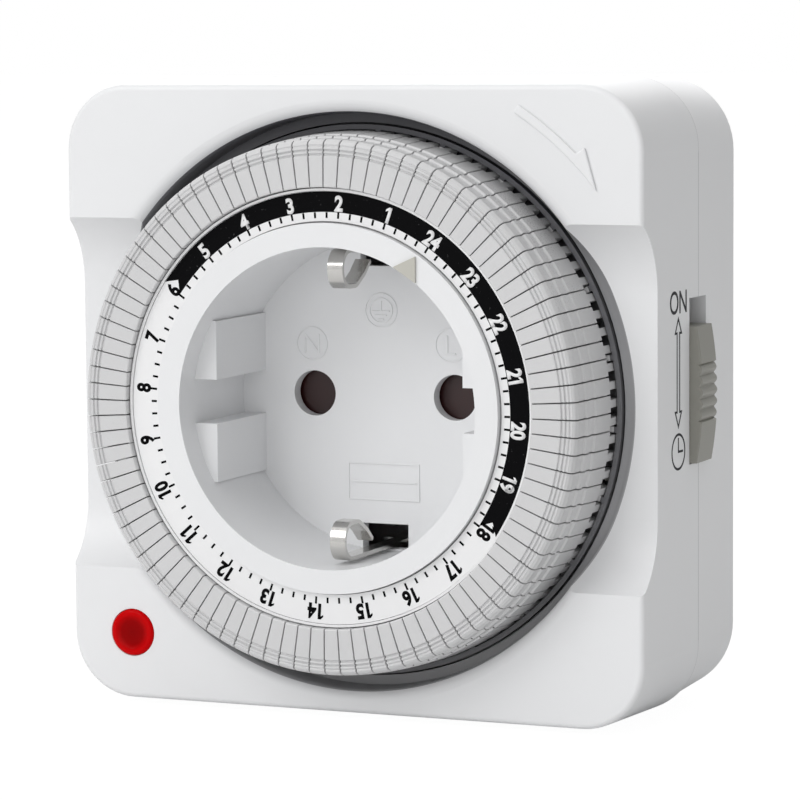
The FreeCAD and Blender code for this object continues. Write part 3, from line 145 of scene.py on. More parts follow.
class Strand:
    """One output of a shader tree, on which sums are written as Python expressions."""

    def __init__(self, tree, socket=None):
        self.tree = tree
        self.socket = socket

    def make(self, kind, settings=None, inputs=None, output=0):
        """Adds a node: its settings first, then the values or links of its sockets."""
        node = self.tree.nodes.new(kind)
        for name, value in (settings or {}).items():
            if name == "stops":
                ramp = node.color_ramp.elements
                while len(ramp) < len(value):
                    ramp.new(1.0)
                for element, (place, colour) in zip(ramp, value):
                    element.position = place
                    element.color = (*colour, 1.0)
            else:
                setattr(node, name, value)
        for name, value in (inputs or {}).items():
            if isinstance(value, Strand):
                self.tree.links.new(value.socket, node.inputs[name])
            else:
                node.inputs[name].default_value = value
        return Strand(self.tree, node.outputs[output])

    def maths(self, operation, first, second=0.0):
        return self.make("ShaderNodeMath", {"operation": operation}, {0: first, 1: second})

    def __add__(self, other):
        return self.maths("ADD", self, other)

    def __sub__(self, other):
        return self.maths("SUBTRACT", self, other)

    def __rsub__(self, other):
        return self.maths("SUBTRACT", other, self)

    def __mul__(self, other):
        return self.maths("MULTIPLY", self, other)

    def __gt__(self, other):
        return self.maths("GREATER_THAN", self, other)

    __radd__ = __add__
    __rmul__ = __mul__


def tinted(colour, factor):
    """A colour made lighter or darker."""
    return tuple(min(1.0, channel * factor) for channel in colour)


finishes = {}


def start_finish(name):
    """Adds a material to the finishes, and gives its shader and the strand that its tree grows from."""
    material = bpy.data.materials.new(name)
    material.use_nodes = True
    finishes[name] = material
    return material.node_tree.nodes["Principled BSDF"], Strand(material.node_tree)


def join(shader, name, value):
    """Links a strand to a socket of the shader."""
    value.tree.links.new(value.socket, shader.inputs[name])


def mixed(strand, share, first, second):
    """A colour between two others, each a strand or plain red, green and blue."""
    first, second = (end if isinstance(end, Strand) else (*end, 1.0) for end in (first, second))
    return strand.make("ShaderNodeMix", {"data_type": "RGBA"}, {0: share, 6: first, 7: second}, 2)


def own_place(strand):
    """A point's place in its object's own coordinates."""
    return strand.make("ShaderNodeTexCoord", output="Object")


def own_depth(strand):
    return strand.make("ShaderNodeSeparateXYZ", inputs={0: own_place(strand)}, output="Y")


def own_height(strand):
    return strand.make("ShaderNodeSeparateXYZ", inputs={0: own_place(strand)}, output="Z")


def from_axis(strand, x=0.0, z=0.0):
    """A point's distance from the line that runs back through a place on the face."""
    flat = strand.make("ShaderNodeVectorMath", {"operation": "MULTIPLY_ADD"}, {
        0: own_place(strand), 1: (1.0, 0.0, 1.0), 2: (-x, 0.0, -z)})
    return strand.make("ShaderNodeVectorMath", {"operation": "LENGTH"}, {0: flat}, "Value")


def spots(strand, scale, detail=3.0, rough=0.55, stretch=(1.0, 1.0, 1.0)):
    """Noise over the object's own coordinates, with its pattern stretched where asked."""
    place = strand.make("ShaderNodeMapping", inputs={"Vector": own_place(strand), "Scale": stretch})
    return strand.make("ShaderNodeTexNoise", inputs={
        "Vector": place, "Scale": scale, "Detail": detail, "Roughness": rough})


def shaded(strand, tone, radius, outside, low_shade_grey, high_shade_grey):
    """A tone turned grey by painted shade inside or outside a radius, as far back as the well's floor, with
    painted shadow that darkens it high up.

    It also gets the thin grey parting line between the two housings."""
    shadow_starts, shadow_ends = 5 * MM, 34 * MM
    line_half, line_share, line_grey = 0.09 * MM, 0.55, (0.3, 0.3, 0.31)
    # Painted shade: the well's grey stands in for its shade, and darkens towards the top as painted shadow
    beyond = from_axis(strand) > radius
    side = beyond if outside else 1.0 - beyond
    shallow = strand.maths("LESS_THAN", own_depth(strand), FACE_DEPTH + WELL_DEPTH)
    shadow_rise = strand.make("ShaderNodeMapRange", inputs={0: own_height(strand), 1: shadow_starts, 2: shadow_ends})
    tone = mixed(strand, side * shallow, tone, mixed(strand, shadow_rise, low_shade_grey, high_shade_grey))
    off_line = strand.maths("ABSOLUTE", own_depth(strand) - SEAM_DEPTH)
    return mixed(strand, strand.maths("LESS_THAN", off_line, line_half) * line_share, tone, line_grey)


def moulded_plastic(name, colour, rough, grain=0.012, grain_scale=5200.0, coat=0.0, cloud=0.02, painted_shade=None):
    """Injection moulded plastic: a faint cloud in its colour and gloss, and a fine spark-eroded grain.

    A painted shade for the well is what the shading function takes after its tone: a radius, its side, and
    the painted greys low down and high up."""
    shader, strand = start_finish(name)
    haze = spots(strand, 60.0)
    fine = spots(strand, grain_scale, 2.0)
    tone = mixed(strand, haze, tinted(colour, 1 - cloud), tinted(colour, 1 + cloud))
    # Painted shade in the well around the dial, darker high up
    if painted_shade:
        tone = shaded(strand, tone, *painted_shade)
    join(shader, "Base Color", tone)
    join(shader, "Roughness", rough + (haze - 0.5) * 0.14 + (fine - 0.5) * 0.06)
    bump = strand.make("ShaderNodeBump", inputs={
        "Strength": 0.35, "Distance": grain * MM, "Height": fine})
    join(shader, "Normal", bump)
    shader.inputs["IOR"].default_value = 1.49
    shader.inputs["Coat Weight"].default_value = coat
    shader.inputs["Coat Roughness"].default_value = 0.12


def rolled_metal(name, colour, rough, stretch=(1.0, 1.0, 1.0), worn=0.10):
    """Sheet or turned metal: hair lines along one way, patches of duller plating."""
    shader, strand = start_finish(name)
    lines = spots(strand, 900.0, 4.0, 0.6, stretch)
    dull = spots(strand, 240.0)
    tone = mixed(strand, dull, tinted(colour, 1 - worn), tinted(colour, 1 + worn / 2))
    join(shader, "Base Color", tone)
    join(shader, "Roughness", rough + (lines - 0.5) * 0.16 + (dull - 0.5) * 0.10)
    bump = strand.make("ShaderNodeBump", inputs={"Strength": 0.25, "Distance": 0.006 * MM, "Height": lines})
    join(shader, "Normal", bump)
    shader.inputs["Metallic"].default_value = 1.0


def printed_ink(name, colour):
    """Pad printed ink: nearly matt, with pinholes that let a little light tone through."""
    pore_level, pore_share, pore_grey = 0.72, 0.25, (0.2, 0.2, 0.2)
    shader, strand = start_finish(name)
    pores = spots(strand, 3000.0, 2.0)
    tone = mixed(strand, (pores > pore_level) * pore_share, colour, pore_grey)
    join(shader, "Base Color", tone)
    join(shader, "Roughness", 0.62 + (pores - 0.5) * 0.2)
    shader.inputs["Specular IOR Level"].default_value = 0.05


def lamp_red(name, colour):
    """Clear red moulding with painted light: painted shade darker over the lamp in its middle, a painted
    highlight at its full red rim, and a faint painted glow.
    """
    rim_reach = 2.2
    shader, strand = start_finish(name)
    cloud = spots(strand, 900.0)
    reach = from_axis(strand, LENS_X, LENS_Z) * (rim_reach / (LENS_HIGH[0] - LENS_LOW[0]))
    # Painted light: painted shade in the middle, growing to a painted highlight at the rim
    tone = strand.make("ShaderNodeValToRGB", {"stops": [
        (0.0, tinted(colour, 0.42)), (0.50, tinted(colour, 0.50)), (0.80, tinted(colour, 0.95)),
        (1.0, colour)]}, {0: reach + (cloud - 0.5) * 0.12})
    join(shader, "Base Color", tone)
    # Painted glow: no lamp lights the lens
    join(shader, "Emission Color", tone)
    join(shader, "Roughness", 0.2 + (cloud - 0.5) * 0.1)
    shader.inputs["Emission Strength"].default_value = 0.15
    shader.inputs["Specular IOR Level"].default_value = 0.04


def clear_glass(name, colour):
    """Thin tinted glass that lets most light through, with a faint cloud."""
    shader, strand = start_finish(name)
    cloud = spots(strand, 700.0)
    tone = mixed(strand, cloud, colour, tinted(colour, 1.08))
    join(shader, "Base Color", tone)
    join(shader, "Roughness", 0.05 + cloud * 0.08)
    shader.inputs["Transmission Weight"].default_value = 0.85
    shader.inputs["IOR"].default_value = 1.5


def make_finishes(colours):
    """One finish for each material slot of the record, and two inks."""
    # The case and the dial get painted shade in the well around the dial, darker high up
    moulded_plastic("case_white", colours.case, 0.44, 0.010,
                    painted_shade=(WELL_RADIUS, False, colours.well, colours.well_top))
    moulded_plastic("cup_white", colours.cup, 0.34, 0.006)
    moulded_plastic("dial_white", colours.dial, 0.33, 0.005,
                    painted_shade=(FLANGE_RADIUS, True, colours.flange, colours.well_top))
    moulded_plastic("scale_print", colours.dial, 0.36, 0.004)
    moulded_plastic("tappet_plastic", colours.tappet, 0.30, 0.006, cloud=0.03)
    moulded_plastic("pointer_grey", colours.pointer, 0.36)
    moulded_plastic("knob_grey", colours.knob, 0.42, 0.02, 4200.0, cloud=0.05)
    moulded_plastic("inner_plastic", (0.55, 0.54, 0.50), 0.5)
    moulded_plastic("gear_plastic", (0.74, 0.73, 0.69), 0.4)
    moulded_plastic("shutter_red", colours.shutter, 0.32)
    moulded_plastic("resistor_body", (0.62, 0.50, 0.33), 0.35, coat=0.4)
    moulded_plastic("lead_insulation", (0.05, 0.12, 0.35), 0.45)
    moulded_plastic("rotor_magnet", (0.05, 0.05, 0.055), 0.6, 0.03, 2500.0, cloud=0.15)
    rolled_metal("nickel_strip", (0.62, 0.61, 0.59), 0.20, (1.0, 0.15, 0.15))
    rolled_metal("nickel_pin", (0.66, 0.65, 0.63), 0.24, (1.0, 12.0, 1.0))
    rolled_metal("brass_strip", (0.72, 0.53, 0.25), 0.3)
    rolled_metal("spring_steel", (0.5, 0.5, 0.5), 0.3)
    rolled_metal("screw_steel", (0.55, 0.55, 0.56), 0.34, worn=0.2)
    rolled_metal("motor_steel", (0.5, 0.5, 0.52), 0.4)
    rolled_metal("copper_coil", (0.60, 0.26, 0.12), 0.35, (1.0, 14.0, 1.0))
    rolled_metal("bare_lead", (0.6, 0.6, 0.6), 0.3)
    lamp_red("lens_red", colours.lens)
    clear_glass("lamp_glass", (0.9, 0.75, 0.6))
    printed_ink("black_ink", colours.ink)
    printed_ink("side_ink", colours.mark)


def piece_from(bm, name, body, finish, bevel=0.0, segments=2):
    """Turns a bmesh into an object that rides on a body and takes its finish from a slot."""
    if bevel:
        sharp = [edge for edge in bm.edges if edge.is_manifold and edge.calc_face_angle(0.0) > SHARP_ANGLE]
        bmesh.ops.bevel(bm, geom=sharp, offset=bevel, offset_type="OFFSET", segments=segments,
                        profile=0.5, affect="EDGES", clamp_overlap=True, material=-1)
    bmesh.ops.remove_doubles(bm, verts=bm.verts[:], dist=MERGE_DISTANCE)
    bmesh.ops.recalc_face_normals(bm, faces=bm.faces[:])
    mesh = bpy.data.meshes.new(name)
    bm.to_mesh(mesh)
    bm.free()
    thing = bpy.data.objects.new(name, mesh)
    bpy.context.scene.collection.objects.link(thing)
    mesh.materials.append(finishes[finish])
    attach(thing, body)
    return thing


def flat_face(bm, corners):
    """A face through points in the XY plane, which faces +Z."""
    face = bm.faces.new([bm.verts.new((x, y, 0.0)) for x, y in corners])
    face.normal_update()
    if face.normal.z < 0:
        bmesh.ops.reverse_faces(bm, faces=[face])
    return face


def raise_faces(bm, faces, height):
    """Extrudes faces along +Z into closed solids."""
    grown = bmesh.ops.extrude_face_region(bm, geom=faces, use_keep_orig=True)
    tops = [item for item in grown["geom"] if isinstance(item, bmesh.types.BMVert)]
    bmesh.ops.translate(bm, verts=tops, vec=(0.0, 0.0, height))


def outline_of(corners, stroke, height):
    """The outline of a shape as a raised line of even width."""
    bm = bmesh.new()
    face = flat_face(bm, corners)
    bmesh.ops.inset_region(bm, faces=[face], thickness=stroke, use_even_offset=True, use_boundary=True)
    middle = [f for f in bm.faces if f.is_valid and all(not e.is_boundary for e in f.edges)]
    bmesh.ops.delete(bm, geom=middle, context="FACES")
    raise_faces(bm, bm.faces[:], height)
    return bm


def bar(bm, x0, x1, y0, y1, height):
    """Adds a raised rectangle."""
    raise_faces(bm, [flat_face(bm, [(x0, y0), (x1, y0), (x1, y1), (x0, y1)])], height)


def block(bm, size, middle):
    """Adds a box, and gives its corners."""
    verts = bmesh.ops.create_cube(bm, size=1.0)["verts"]
    bmesh.ops.scale(bm, verts=verts, vec=size)
    bmesh.ops.translate(bm, verts=verts, vec=middle)
    return verts


def arc(radius, start, end, steps):
    """Points along an arc about the origin, with both its ends."""
    turns = [start + (end - start) * step / steps for step in range(steps + 1)]
    return [(radius * math.cos(turn), radius * math.sin(turn)) for turn in turns]


def ring(radius, stroke, height, steps=72):
    """A raised circle of even width."""
    return outline_of(arc(radius, 0.0, 2 * math.pi, steps)[:-1], stroke, height)


def pour(target, source, matrix):
    """Adds one bmesh to another at a place."""
    mesh = bpy.data.meshes.new("pour")
    bmesh.ops.transform(source, matrix=matrix, verts=source.verts[:])
    source.to_mesh(mesh)
    source.free()
    target.from_mesh(mesh)
    bpy.data.meshes.remove(mesh)


def add_flags(bm):
    """Gives each bare upright stroke, a figure one, a short flag at its top left.

    The flag's sizes are shares of the stroke's height."""
    narrow, reach, tip_top, tip_bottom, root = 0.35, 0.2, 0.17, 0.31, 0.2
    left = set(bm.verts)
    while left:
        island, reached = set(), {left.pop()}
        while reached:
            vert = reached.pop()
            island.add(vert)
            reached |= {other for link in vert.link_edges for other in link.verts} - island
        left -= island
        xs, ys = [v.co.x for v in island], [v.co.y for v in island]
        tall = max(ys) - min(ys)
        if max(xs) - min(xs) < narrow * tall:
            start, top = min(xs), max(ys)
            flat_face(bm, [(start, top), (start - reach * tall, top - tip_top * tall),
                           (start - reach * tall, top - tip_bottom * tall), (start, top - root * tall)])


def lettering(words, height, thickness, weight=0.0, width=1.0, flags=False):
    """Words as flat solids in the XY plane, centred on the origin, in Blender's own typeface."""
    curve = bpy.data.curves.new("lettering", "FONT")
    curve.body = words
    curve.align_x = "CENTER"
    curve.size = 1.0
    curve.offset = weight
    curve.resolution_u = 6
    curve.space_character = 0.95
    holder = bpy.data.objects.new("lettering", curve)
    bpy.context.scene.collection.objects.link(holder)
    bpy.context.view_layer.update()
    mesh = bpy.data.meshes.new_from_object(holder.evaluated_get(bpy.context.evaluated_depsgraph_get()))
    bpy.data.objects.remove(holder)
    bpy.data.curves.remove(curve)
    bm = bmesh.new()
    bm.from_mesh(mesh)
    bpy.data.meshes.remove(mesh)
    if flags:
        add_flags(bm)
    xs, ys = [v.co.x for v in bm.verts], [v.co.y for v in bm.verts]
    scale = height / (max(ys) - min(ys))
    bmesh.ops.translate(bm, verts=bm.verts[:], vec=(
        -(max(xs) + min(xs)) / 2, -(max(ys) + min(ys)) / 2, 0.0))
    bmesh.ops.scale(bm, verts=bm.verts[:], vec=(scale * width, scale, 1.0))
    bmesh.ops.remove_doubles(bm, verts=bm.verts[:], dist=MERGE_DISTANCE)
    raise_faces(bm, bm.faces[:], thickness)
    return bm


def facing_front(x, z, depth):
    """The place of a flat drawing that is read from the front, with its back on a surface."""
    return Matrix.Translation((x, depth, z)) @ TURN_BACK


def on_dial(radius, turn, depth):
    """The place of a drawing on the dial with its top outwards."""
    place = Matrix.Translation((radius * math.cos(turn), depth, radius * math.sin(turn)))
    return place @ Matrix.Rotation(math.pi / 2 - turn, 4, "Y") @ TURN_BACK


def sector(inner, outer, start, end, height, steps):
    """A flat band between two angles, swept by a spin."""
    bm = bmesh.new()
    ends = [bm.verts.new((radius * math.cos(start), radius * math.sin(start), 0.0))
            for radius in (inner, outer)]
    bmesh.ops.spin(bm, geom=[bm.edges.new(ends)] + ends, cent=(0, 0, 0), axis=(0, 0, 1),
                   angle=end - start, steps=steps, use_merge=False, use_duplicate=False)
    bmesh.ops.recalc_face_normals(bm, faces=bm.faces[:])
    if bm.faces[:][0].normal.z < 0:
        bmesh.ops.reverse_faces(bm, faces=bm.faces[:])
    raise_faces(bm, bm.faces[:], height)
    return bm


class TIMER_OT_finishes(bpy.types.Operator):
    """Give every solid its own moulded, rolled or printed finish"""
    bl_idname = "timer.finishes"
    bl_label = "Finishes"

    def execute(self, context):
        make_finishes(context.scene.timer_colours)
        slots = {part["node"]: part["material_slot"] for part in frame["record"]["subparts"]}
        for node, thing in frame["nodes"].items():
            thing.data.materials.clear()
            thing.data.materials.append(finishes[slots.get(node, "inner_plastic")])
        return {"FINISHED"}


class TIMER_OT_tappets(bpy.types.Operator):
    """Shape the tappets with their ridged caps, stepped skirts and tabs"""
    bl_idname = "timer.tappets"
    bl_label = "Tappets"

    def profile(self, sizes):
        """A tappet's section, as radii and depths behind the face.

        It has three fine grooves in its cap, a skirt that steps out, in and out again, and a hollow back."""
        inner, top = sizes.tappet_inner / MM, -sizes.tappet_top / MM
        wall, groove, foot, back = 1.2, top + 0.24, 2.6, 1.0
        roof = top + 1.3
        points = [(inner, top + 0.12), (inner + 0.12, top),
                  (30.38, top), (30.48, groove), (30.62, groove), (30.70, top),
                  (30.92, top), (31.0, groove), (31.12, groove), (31.2, top),
                  (31.42, top + 0.02), (31.52, top + 0.2), (31.64, top + 0.2), (31.75, top + 0.08),
                  (32.1, top + 0.33), (32.35, top + 0.87),
                  (32.40, -4.30), (32.64, -4.08), (32.70, -3.10), (32.54, -2.88), (32.62, -1.90),
                  (32.84, -1.68), (33.1, foot), (32.05, foot), (31.2, roof), (inner + wall, roof),
                  (inner + wall, back), (inner, back)]
        return [(radius * MM, FACE_DEPTH + depth * MM) for radius, depth in points]

    def one(self, sizes, quarter):
        """One tappet that starts at the +X axis: its section swept, with a tab behind it."""
        tab_size = (1.0 * MM, 3.6 * MM, 0.96 * MM)
        tab_radius, tab_depth = 32.58 * MM, 4.1 * MM
        slit = sizes.tappet_slit
        bm = bmesh.new()
        verts = [bm.verts.new((radius, depth, 0.0)) for radius, depth in self.profile(sizes)]
        section = bm.faces.new(verts)
        bmesh.ops.rotate(bm, verts=verts, cent=(0, 0, 0), matrix=Matrix.Rotation(-slit / 2, 3, "Y"))
        bmesh.ops.spin(bm, geom=[section] + section.edges[:] + verts, cent=(0, 0, 0), axis=(0, 1, 0),
                       angle=-(quarter - slit), steps=2, use_merge=False, use_duplicate=False)
        bmesh.ops.recalc_face_normals(bm, faces=bm.faces[:])
        tab = block(bm, tab_size, (tab_radius, FACE_DEPTH + tab_depth, 0.0))
        bmesh.ops.rotate(bm, verts=tab, cent=(0, 0, 0), matrix=Matrix.Rotation(-quarter / 2, 3, "Y"))
        return bm

    def execute(self, context):
        sizes = context.scene.timer_sizes
        rounding = 0.05 * MM
        quarter = 2 * math.pi / (HOURS * QUARTERS)
        for hour in range(1, HOURS + 1):
            bm = bmesh.new()
            for step in range(QUARTERS):
                turn = sizes.first_hour_turn + (QUARTERS * hour + step) * quarter
                pour(bm, self.one(sizes, quarter), Matrix.Rotation(-turn, 4, "Y"))
            node = "tappets_hour_%02d" % hour
            cap = piece_from(bm, "caps_hour_%02d" % hour, "hour_%02d" % hour, "tappet_plastic",
                             bevel=rounding, segments=1)
            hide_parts(node)
        return {"FINISHED"}


class TIMER_OT_hour_print(bpy.types.Operator):
    """Print the ticks, the numerals and the black night band on the scale"""
    bl_idname = "timer.hour_print"
    bl_label = "Hour Print"

    def ticks(self, sizes, hour_turn):
        """A tick for each quarter, longer at the hours."""
        half = sizes.tick_width / 2
        bm = bmesh.new()
        for step in range(HOURS * QUARTERS):
            outer = sizes.hour_tick_outer if step % QUARTERS == 0 else sizes.tick_outer
            tick = bmesh.new()
            bar(tick, -half, half, sizes.tick_inner, outer, sizes.print_thickness)
            pour(bm, tick, on_dial(0.0, sizes.first_hour_turn + step * hour_turn / QUARTERS, SCALE_TOP))
        piece_from(bm, "scale_ticks", "dial", "black_ink")

    def night_band(self, sizes, hour_turn):
        """The black band from 18 to 6 o'clock, with two prongs at each end."""
        trim, overlap, prong_length, prong_root = 0.062, 0.02 * MM, 1.15, 0.1
        thick = sizes.print_thickness
        begin = sizes.first_hour_turn - 6 * hour_turn + trim
        end = sizes.first_hour_turn + 6 * hour_turn - trim
        middle = (sizes.night_inner + sizes.night_outer) / 2
        half = (sizes.night_outer - sizes.night_inner) / 2
        bm = bmesh.new()
        band = sector(sizes.night_inner, sizes.night_outer, begin, end, thick, HOURS * QUARTERS)
        pour(bm, band, Matrix.Translation((0, SCALE_TOP, 0)) @ TURN_BACK)
        for turn, way in ((begin, 1), (end, -1)):
            prong = bmesh.new()
            for side in (-half, half):
                corners = [(-overlap * way, side), (way * half * prong_length, side), (0, -prong_root * side)]
                raise_faces(prong, [flat_face(prong, corners)], thick)
            pour(bm, prong, on_dial(middle, turn, SCALE_TOP))
        piece_from(bm, "night_band", "dial", "black_ink")

    def numerals(self, sizes, hour_turn):
        """The hours, white where they stand on the night band and black elsewhere."""
        weight, width, lift = 0.042, 0.86, 1.01
        thick = sizes.print_thickness
        day, night = bmesh.new(), bmesh.new()
        for hour in range(1, HOURS + 1):
            numeral = lettering(str(hour), sizes.numeral_height, thick, weight, width, True)
            at_night = hour >= 19 or hour <= 5
            depth = SCALE_TOP - thick * lift if at_night else SCALE_TOP
            place = on_dial(sizes.numeral_radius, sizes.first_hour_turn + hour * hour_turn, depth)
            pour(night if at_night else day, numeral, place)
        piece_from(day, "day_numerals", "dial", "black_ink")
        piece_from(night, "night_numerals", "dial", "scale_print")

    def execute(self, context):
        sizes = context.scene.timer_sizes
        hour_turn = 2 * math.pi / HOURS
        self.ticks(sizes, hour_turn)
        self.night_band(sizes, hour_turn)
        self.numerals(sizes, hour_turn)
        return {"FINISHED"}


class TIMER_OT_face_arrow(bpy.types.Operator):
    """Raise the half arrow that shows which way the dial turns"""
    bl_idname = "timer.face_arrow"
    bl_label = "Face Arrow"

    def execute(self, context):
        sizes = context.scene.timer_sizes
        lower, upper, barb, rounding = 41.4 * MM, 42.5 * MM, 43.8 * MM, 0.2 * MM
        tail, neck, barb_turn, tip = (math.radians(angle) for angle in (58.0, 45.5, 45.1, 38.5))
        steps = 16
        outline = arc(upper, tail, neck, steps) + [(barb * math.cos(barb_turn), barb * math.sin(barb_turn))]
        outline += arc(lower, tip, tail, steps)
        bm, shape = bmesh.new(), bmesh.new()
        raise_faces(shape, [flat_face(shape, outline)], sizes.arrow_height)
        pour(bm, shape, facing_front(0.0, CASE_MIDDLE, FACE_DEPTH))
        piece_from(bm, "face_arrow", "housing", "case_white", bevel=rounding)
        return {"FINISHED"}


class TIMER_OT_socket_signs(bpy.types.Operator):
    """Raise the conductor signs, the earth sign and the bare frame on the socket's floor"""
    bl_idname = "timer.socket_signs"
    bl_label = "Socket Signs"
    stroke = 0.16 * MM
    rounding = 0.03 * MM

    def conductor(self, bm, letter, place, height):
        """A letter in a ring."""
        ring_radius, ring_stroke, letter_height, weight, width = 2.15 * MM, 0.18 * MM, 2.4 * MM, -0.01, 0.95
        pour(bm, ring(ring_radius, ring_stroke, height), place)
        pour(bm, lettering(letter, letter_height, height, weight, width), place)

    def earth(self, bm, place, height):
        """A stem over three shorter and shorter bars, in two rings."""
        stem_half, stem_low, stem_top, bar_half = 0.1, -0.05, 1.15, 0.09
        sign = bmesh.new()
        bar(sign, -stem_half * MM, stem_half * MM, stem_low * MM, stem_top * MM, height)
        for level, half in ((-0.1, 1.2), (-0.62, 0.8), (-1.12, 0.4)):
            bar(sign, -half * MM, half * MM, (level - bar_half) * MM, (level + bar_half) * MM, height)
        pour(bm, sign, place)
        for radius in (2.2, 1.6):
            pour(bm, ring(radius * MM, self.stroke, height), place)

    def bare_frame(self, bm, floor, height):
        """A bare frame with a line across it, which stops short of its sides."""
        left, right, top, bottom, middle = -5.0, 4.7, -8.5, -13.2, -10.9
        short, line_half = 0.5, 0.08
        outline = [(x * MM, z * MM) for x, z in (
            (left, bottom), (right, bottom), (right, top), (left, top))]
        place = facing_front(0.0, 0.0, floor)
        pour(bm, outline_of(outline, self.stroke, height), place)
        line = bmesh.new()
        bar(line, (left + short) * MM, (right - short) * MM, (middle - line_half) * MM,
            (middle + line_half) * MM, height)
        pour(bm, line, place)

    def execute(self, context):
        height = context.scene.timer_sizes.sign_height
        floor = COLLAR_TOP + SOCKET_DEPTH
        bm = bmesh.new()
        for letter, x, z in (("N", -9.83, 6.23), ("L", 9.02, 6.48)):
            self.conductor(bm, letter, facing_front(x * MM, z * MM, floor), height)
        self.earth(bm, facing_front(-0.36 * MM, 10.59 * MM, floor), height)
        self.bare_frame(bm, floor, height)
        piece_from(bm, "socket_signs", "housing", "cup_white", bevel=self.rounding)
        return {"FINISHED"}


class TIMER_OT_side_print(bpy.types.Operator):
    """Print ON, the two-way arrow and the clock beside the override slide"""
    bl_idname = "timer.side_print"
    bl_label = "Side Print"

    def arrow(self):
        """The corners of an arrow with a head at each end, from its upper tip anticlockwise."""
        tip_up, base_up, tip_down, base_down, head, shaft = 10.45, 8.3, -3.15, -0.95, 1.25, 0.55
        corners = [(0, tip_up), (-head, base_up), (-shaft, base_up), (-shaft, base_down), (-head, base_down),
                   (0, tip_down), (head, base_down), (shaft, base_down), (shaft, base_up), (head, base_up)]
        return [(x * MM, y * MM) for x, y in corners]

    def clock(self, thick):
        """A clock's two hands, which meet in its middle."""
        half, minutes, hours = 0.14 * MM, 1.7 * MM, 1.5 * MM
        bm = bmesh.new()
        bar(bm, -half, half, 0.0, minutes, thick)
        bar(bm, -half, hours, -half, half, thick)
        return bm

    def execute(self, context):
        thick = context.scene.timer_sizes.print_thickness
        depth, arrow_stroke, dial_radius, dial_stroke = 11.2 * MM, 0.27 * MM, 2.25 * MM, 0.3 * MM
        word_height, word_weight, word_width = 2.8 * MM, 0.004, 0.94
        word_level, clock_level = 12.15 * MM, -5.9 * MM
        read_from_side = Matrix(((0, 0, 1, 0), (1, 0, 0, 0), (0, 1, 0, 0), (0, 0, 0, 1)))
        surface = HALF_FACE + depth * math.tan(SIDE_DRAFT)
        place = Matrix.Translation((surface, FACE_DEPTH + depth, CASE_MIDDLE))
        place = place @ Matrix.Rotation(-SIDE_DRAFT, 4, "Z") @ read_from_side
        bm = bmesh.new()
        pour(bm, lettering("ON", word_height, thick, word_weight, word_width),
             place @ Matrix.Translation((0.0, word_level, 0.0)))
        pour(bm, outline_of(self.arrow(), arrow_stroke, thick), place)
        at_clock = place @ Matrix.Translation((0.0, clock_level, 0.0))
        pour(bm, self.clock(thick), at_clock)
        pour(bm, ring(dial_radius, dial_stroke, thick), at_clock)
        piece_from(bm, "side_print", "housing", "side_ink")
        return {"FINISHED"}


class TIMER_OT_override_grip(bpy.types.Operator):
    """Shape the override slide's grip with its ridges, and keep its plate behind the wall"""
    bl_idname = "timer.override_grip"
    bl_label = "Override Grip"

    def outline(self, sizes, low, high):
        """The grip from the front: a swelled side with its ridges, and a straight root behind the wall."""
        root = 34.9 * MM
        pitches_below, pitches_above = 2.32, 2.68
        steps = 100
        middle = (low + high) / 2
        crown, ends = KNOB_HIGH[0], KNOB_HIGH[0] - sizes.grip_swell
        ridges_low = middle - pitches_below * sizes.ridge_pitch
        ridges_high = middle + pitches_above * sizes.ridge_pitch
        corners = [(root, low), (root, high)]
        for step in range(steps + 1):
            z = high + (low - high) * step / steps
            part = (z - middle) / ((high - low) / 2)
            x = ends + (crown - ends) * (1 - part * part)
            if ridges_low < z < ridges_high:
                wave = abs(math.sin(math.pi * (z - ridges_low) / sizes.ridge_pitch))
                x -= sizes.ridge_depth * (1 - wave)
            corners.append((x, z))
        return corners

    def execute(self, context):
        half_width, lip, rounding = 2.9 * MM, 1.4 * MM, 0.22 * MM
        visible_from, longest_rim, same_depth = 37 * MM, 2 * MM, 1e-9
        plate_thick, plate_width, plate_x = 1.3 * MM, 8.3 * MM, 35.35 * MM
        finger_length, finger_thick, finger_depth, finger_height = 9.5 * MM, 1.8 * MM, 20.5 * MM, 5.1 * MM
        slot_depth = CASE_HIGH[1]
        low, high = KNOB_LOW[2] + lip, KNOB_HIGH[2] - lip
        bm = bmesh.new()
        section = bm.faces.new([bm.verts.new((x, slot_depth - half_width, z))
                                for x, z in self.outline(context.scene.timer_sizes, low, high)])
        grown = bmesh.ops.extrude_face_region(bm, geom=[section], use_keep_orig=True)
        ends = [item for item in grown["geom"] if isinstance(item, bmesh.types.BMVert)]
        bmesh.ops.translate(bm, verts=ends, vec=(0.0, 2 * half_width, 0.0))
        bmesh.ops.recalc_face_normals(bm, faces=bm.faces[:])
        rims = []
        for edge in bm.edges:
            first, second = (vert.co for vert in edge.verts)
            along_face = edge.calc_length() < longest_rim and abs(first.y - second.y) < same_depth
            if along_face and first.x > visible_from:
                rims.append(edge)
        bmesh.ops.bevel(bm, geom=rims, offset=rounding, offset_type="OFFSET", segments=2, profile=0.5,
                        affect="EDGES", clamp_overlap=True, material=-1)
        block(bm, (plate_thick, plate_width, high - low + 2 * lip), (plate_x, slot_depth, (low + high) / 2))
        block(bm, (finger_length, finger_thick, finger_thick),
              (KNOB_LOW[0] + finger_length / 2, FACE_DEPTH + finger_depth, finger_height))
        grip = piece_from(bm, "override_grip", "knob", "knob_grey")
        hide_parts("override_knob")
        return {"FINISHED"}


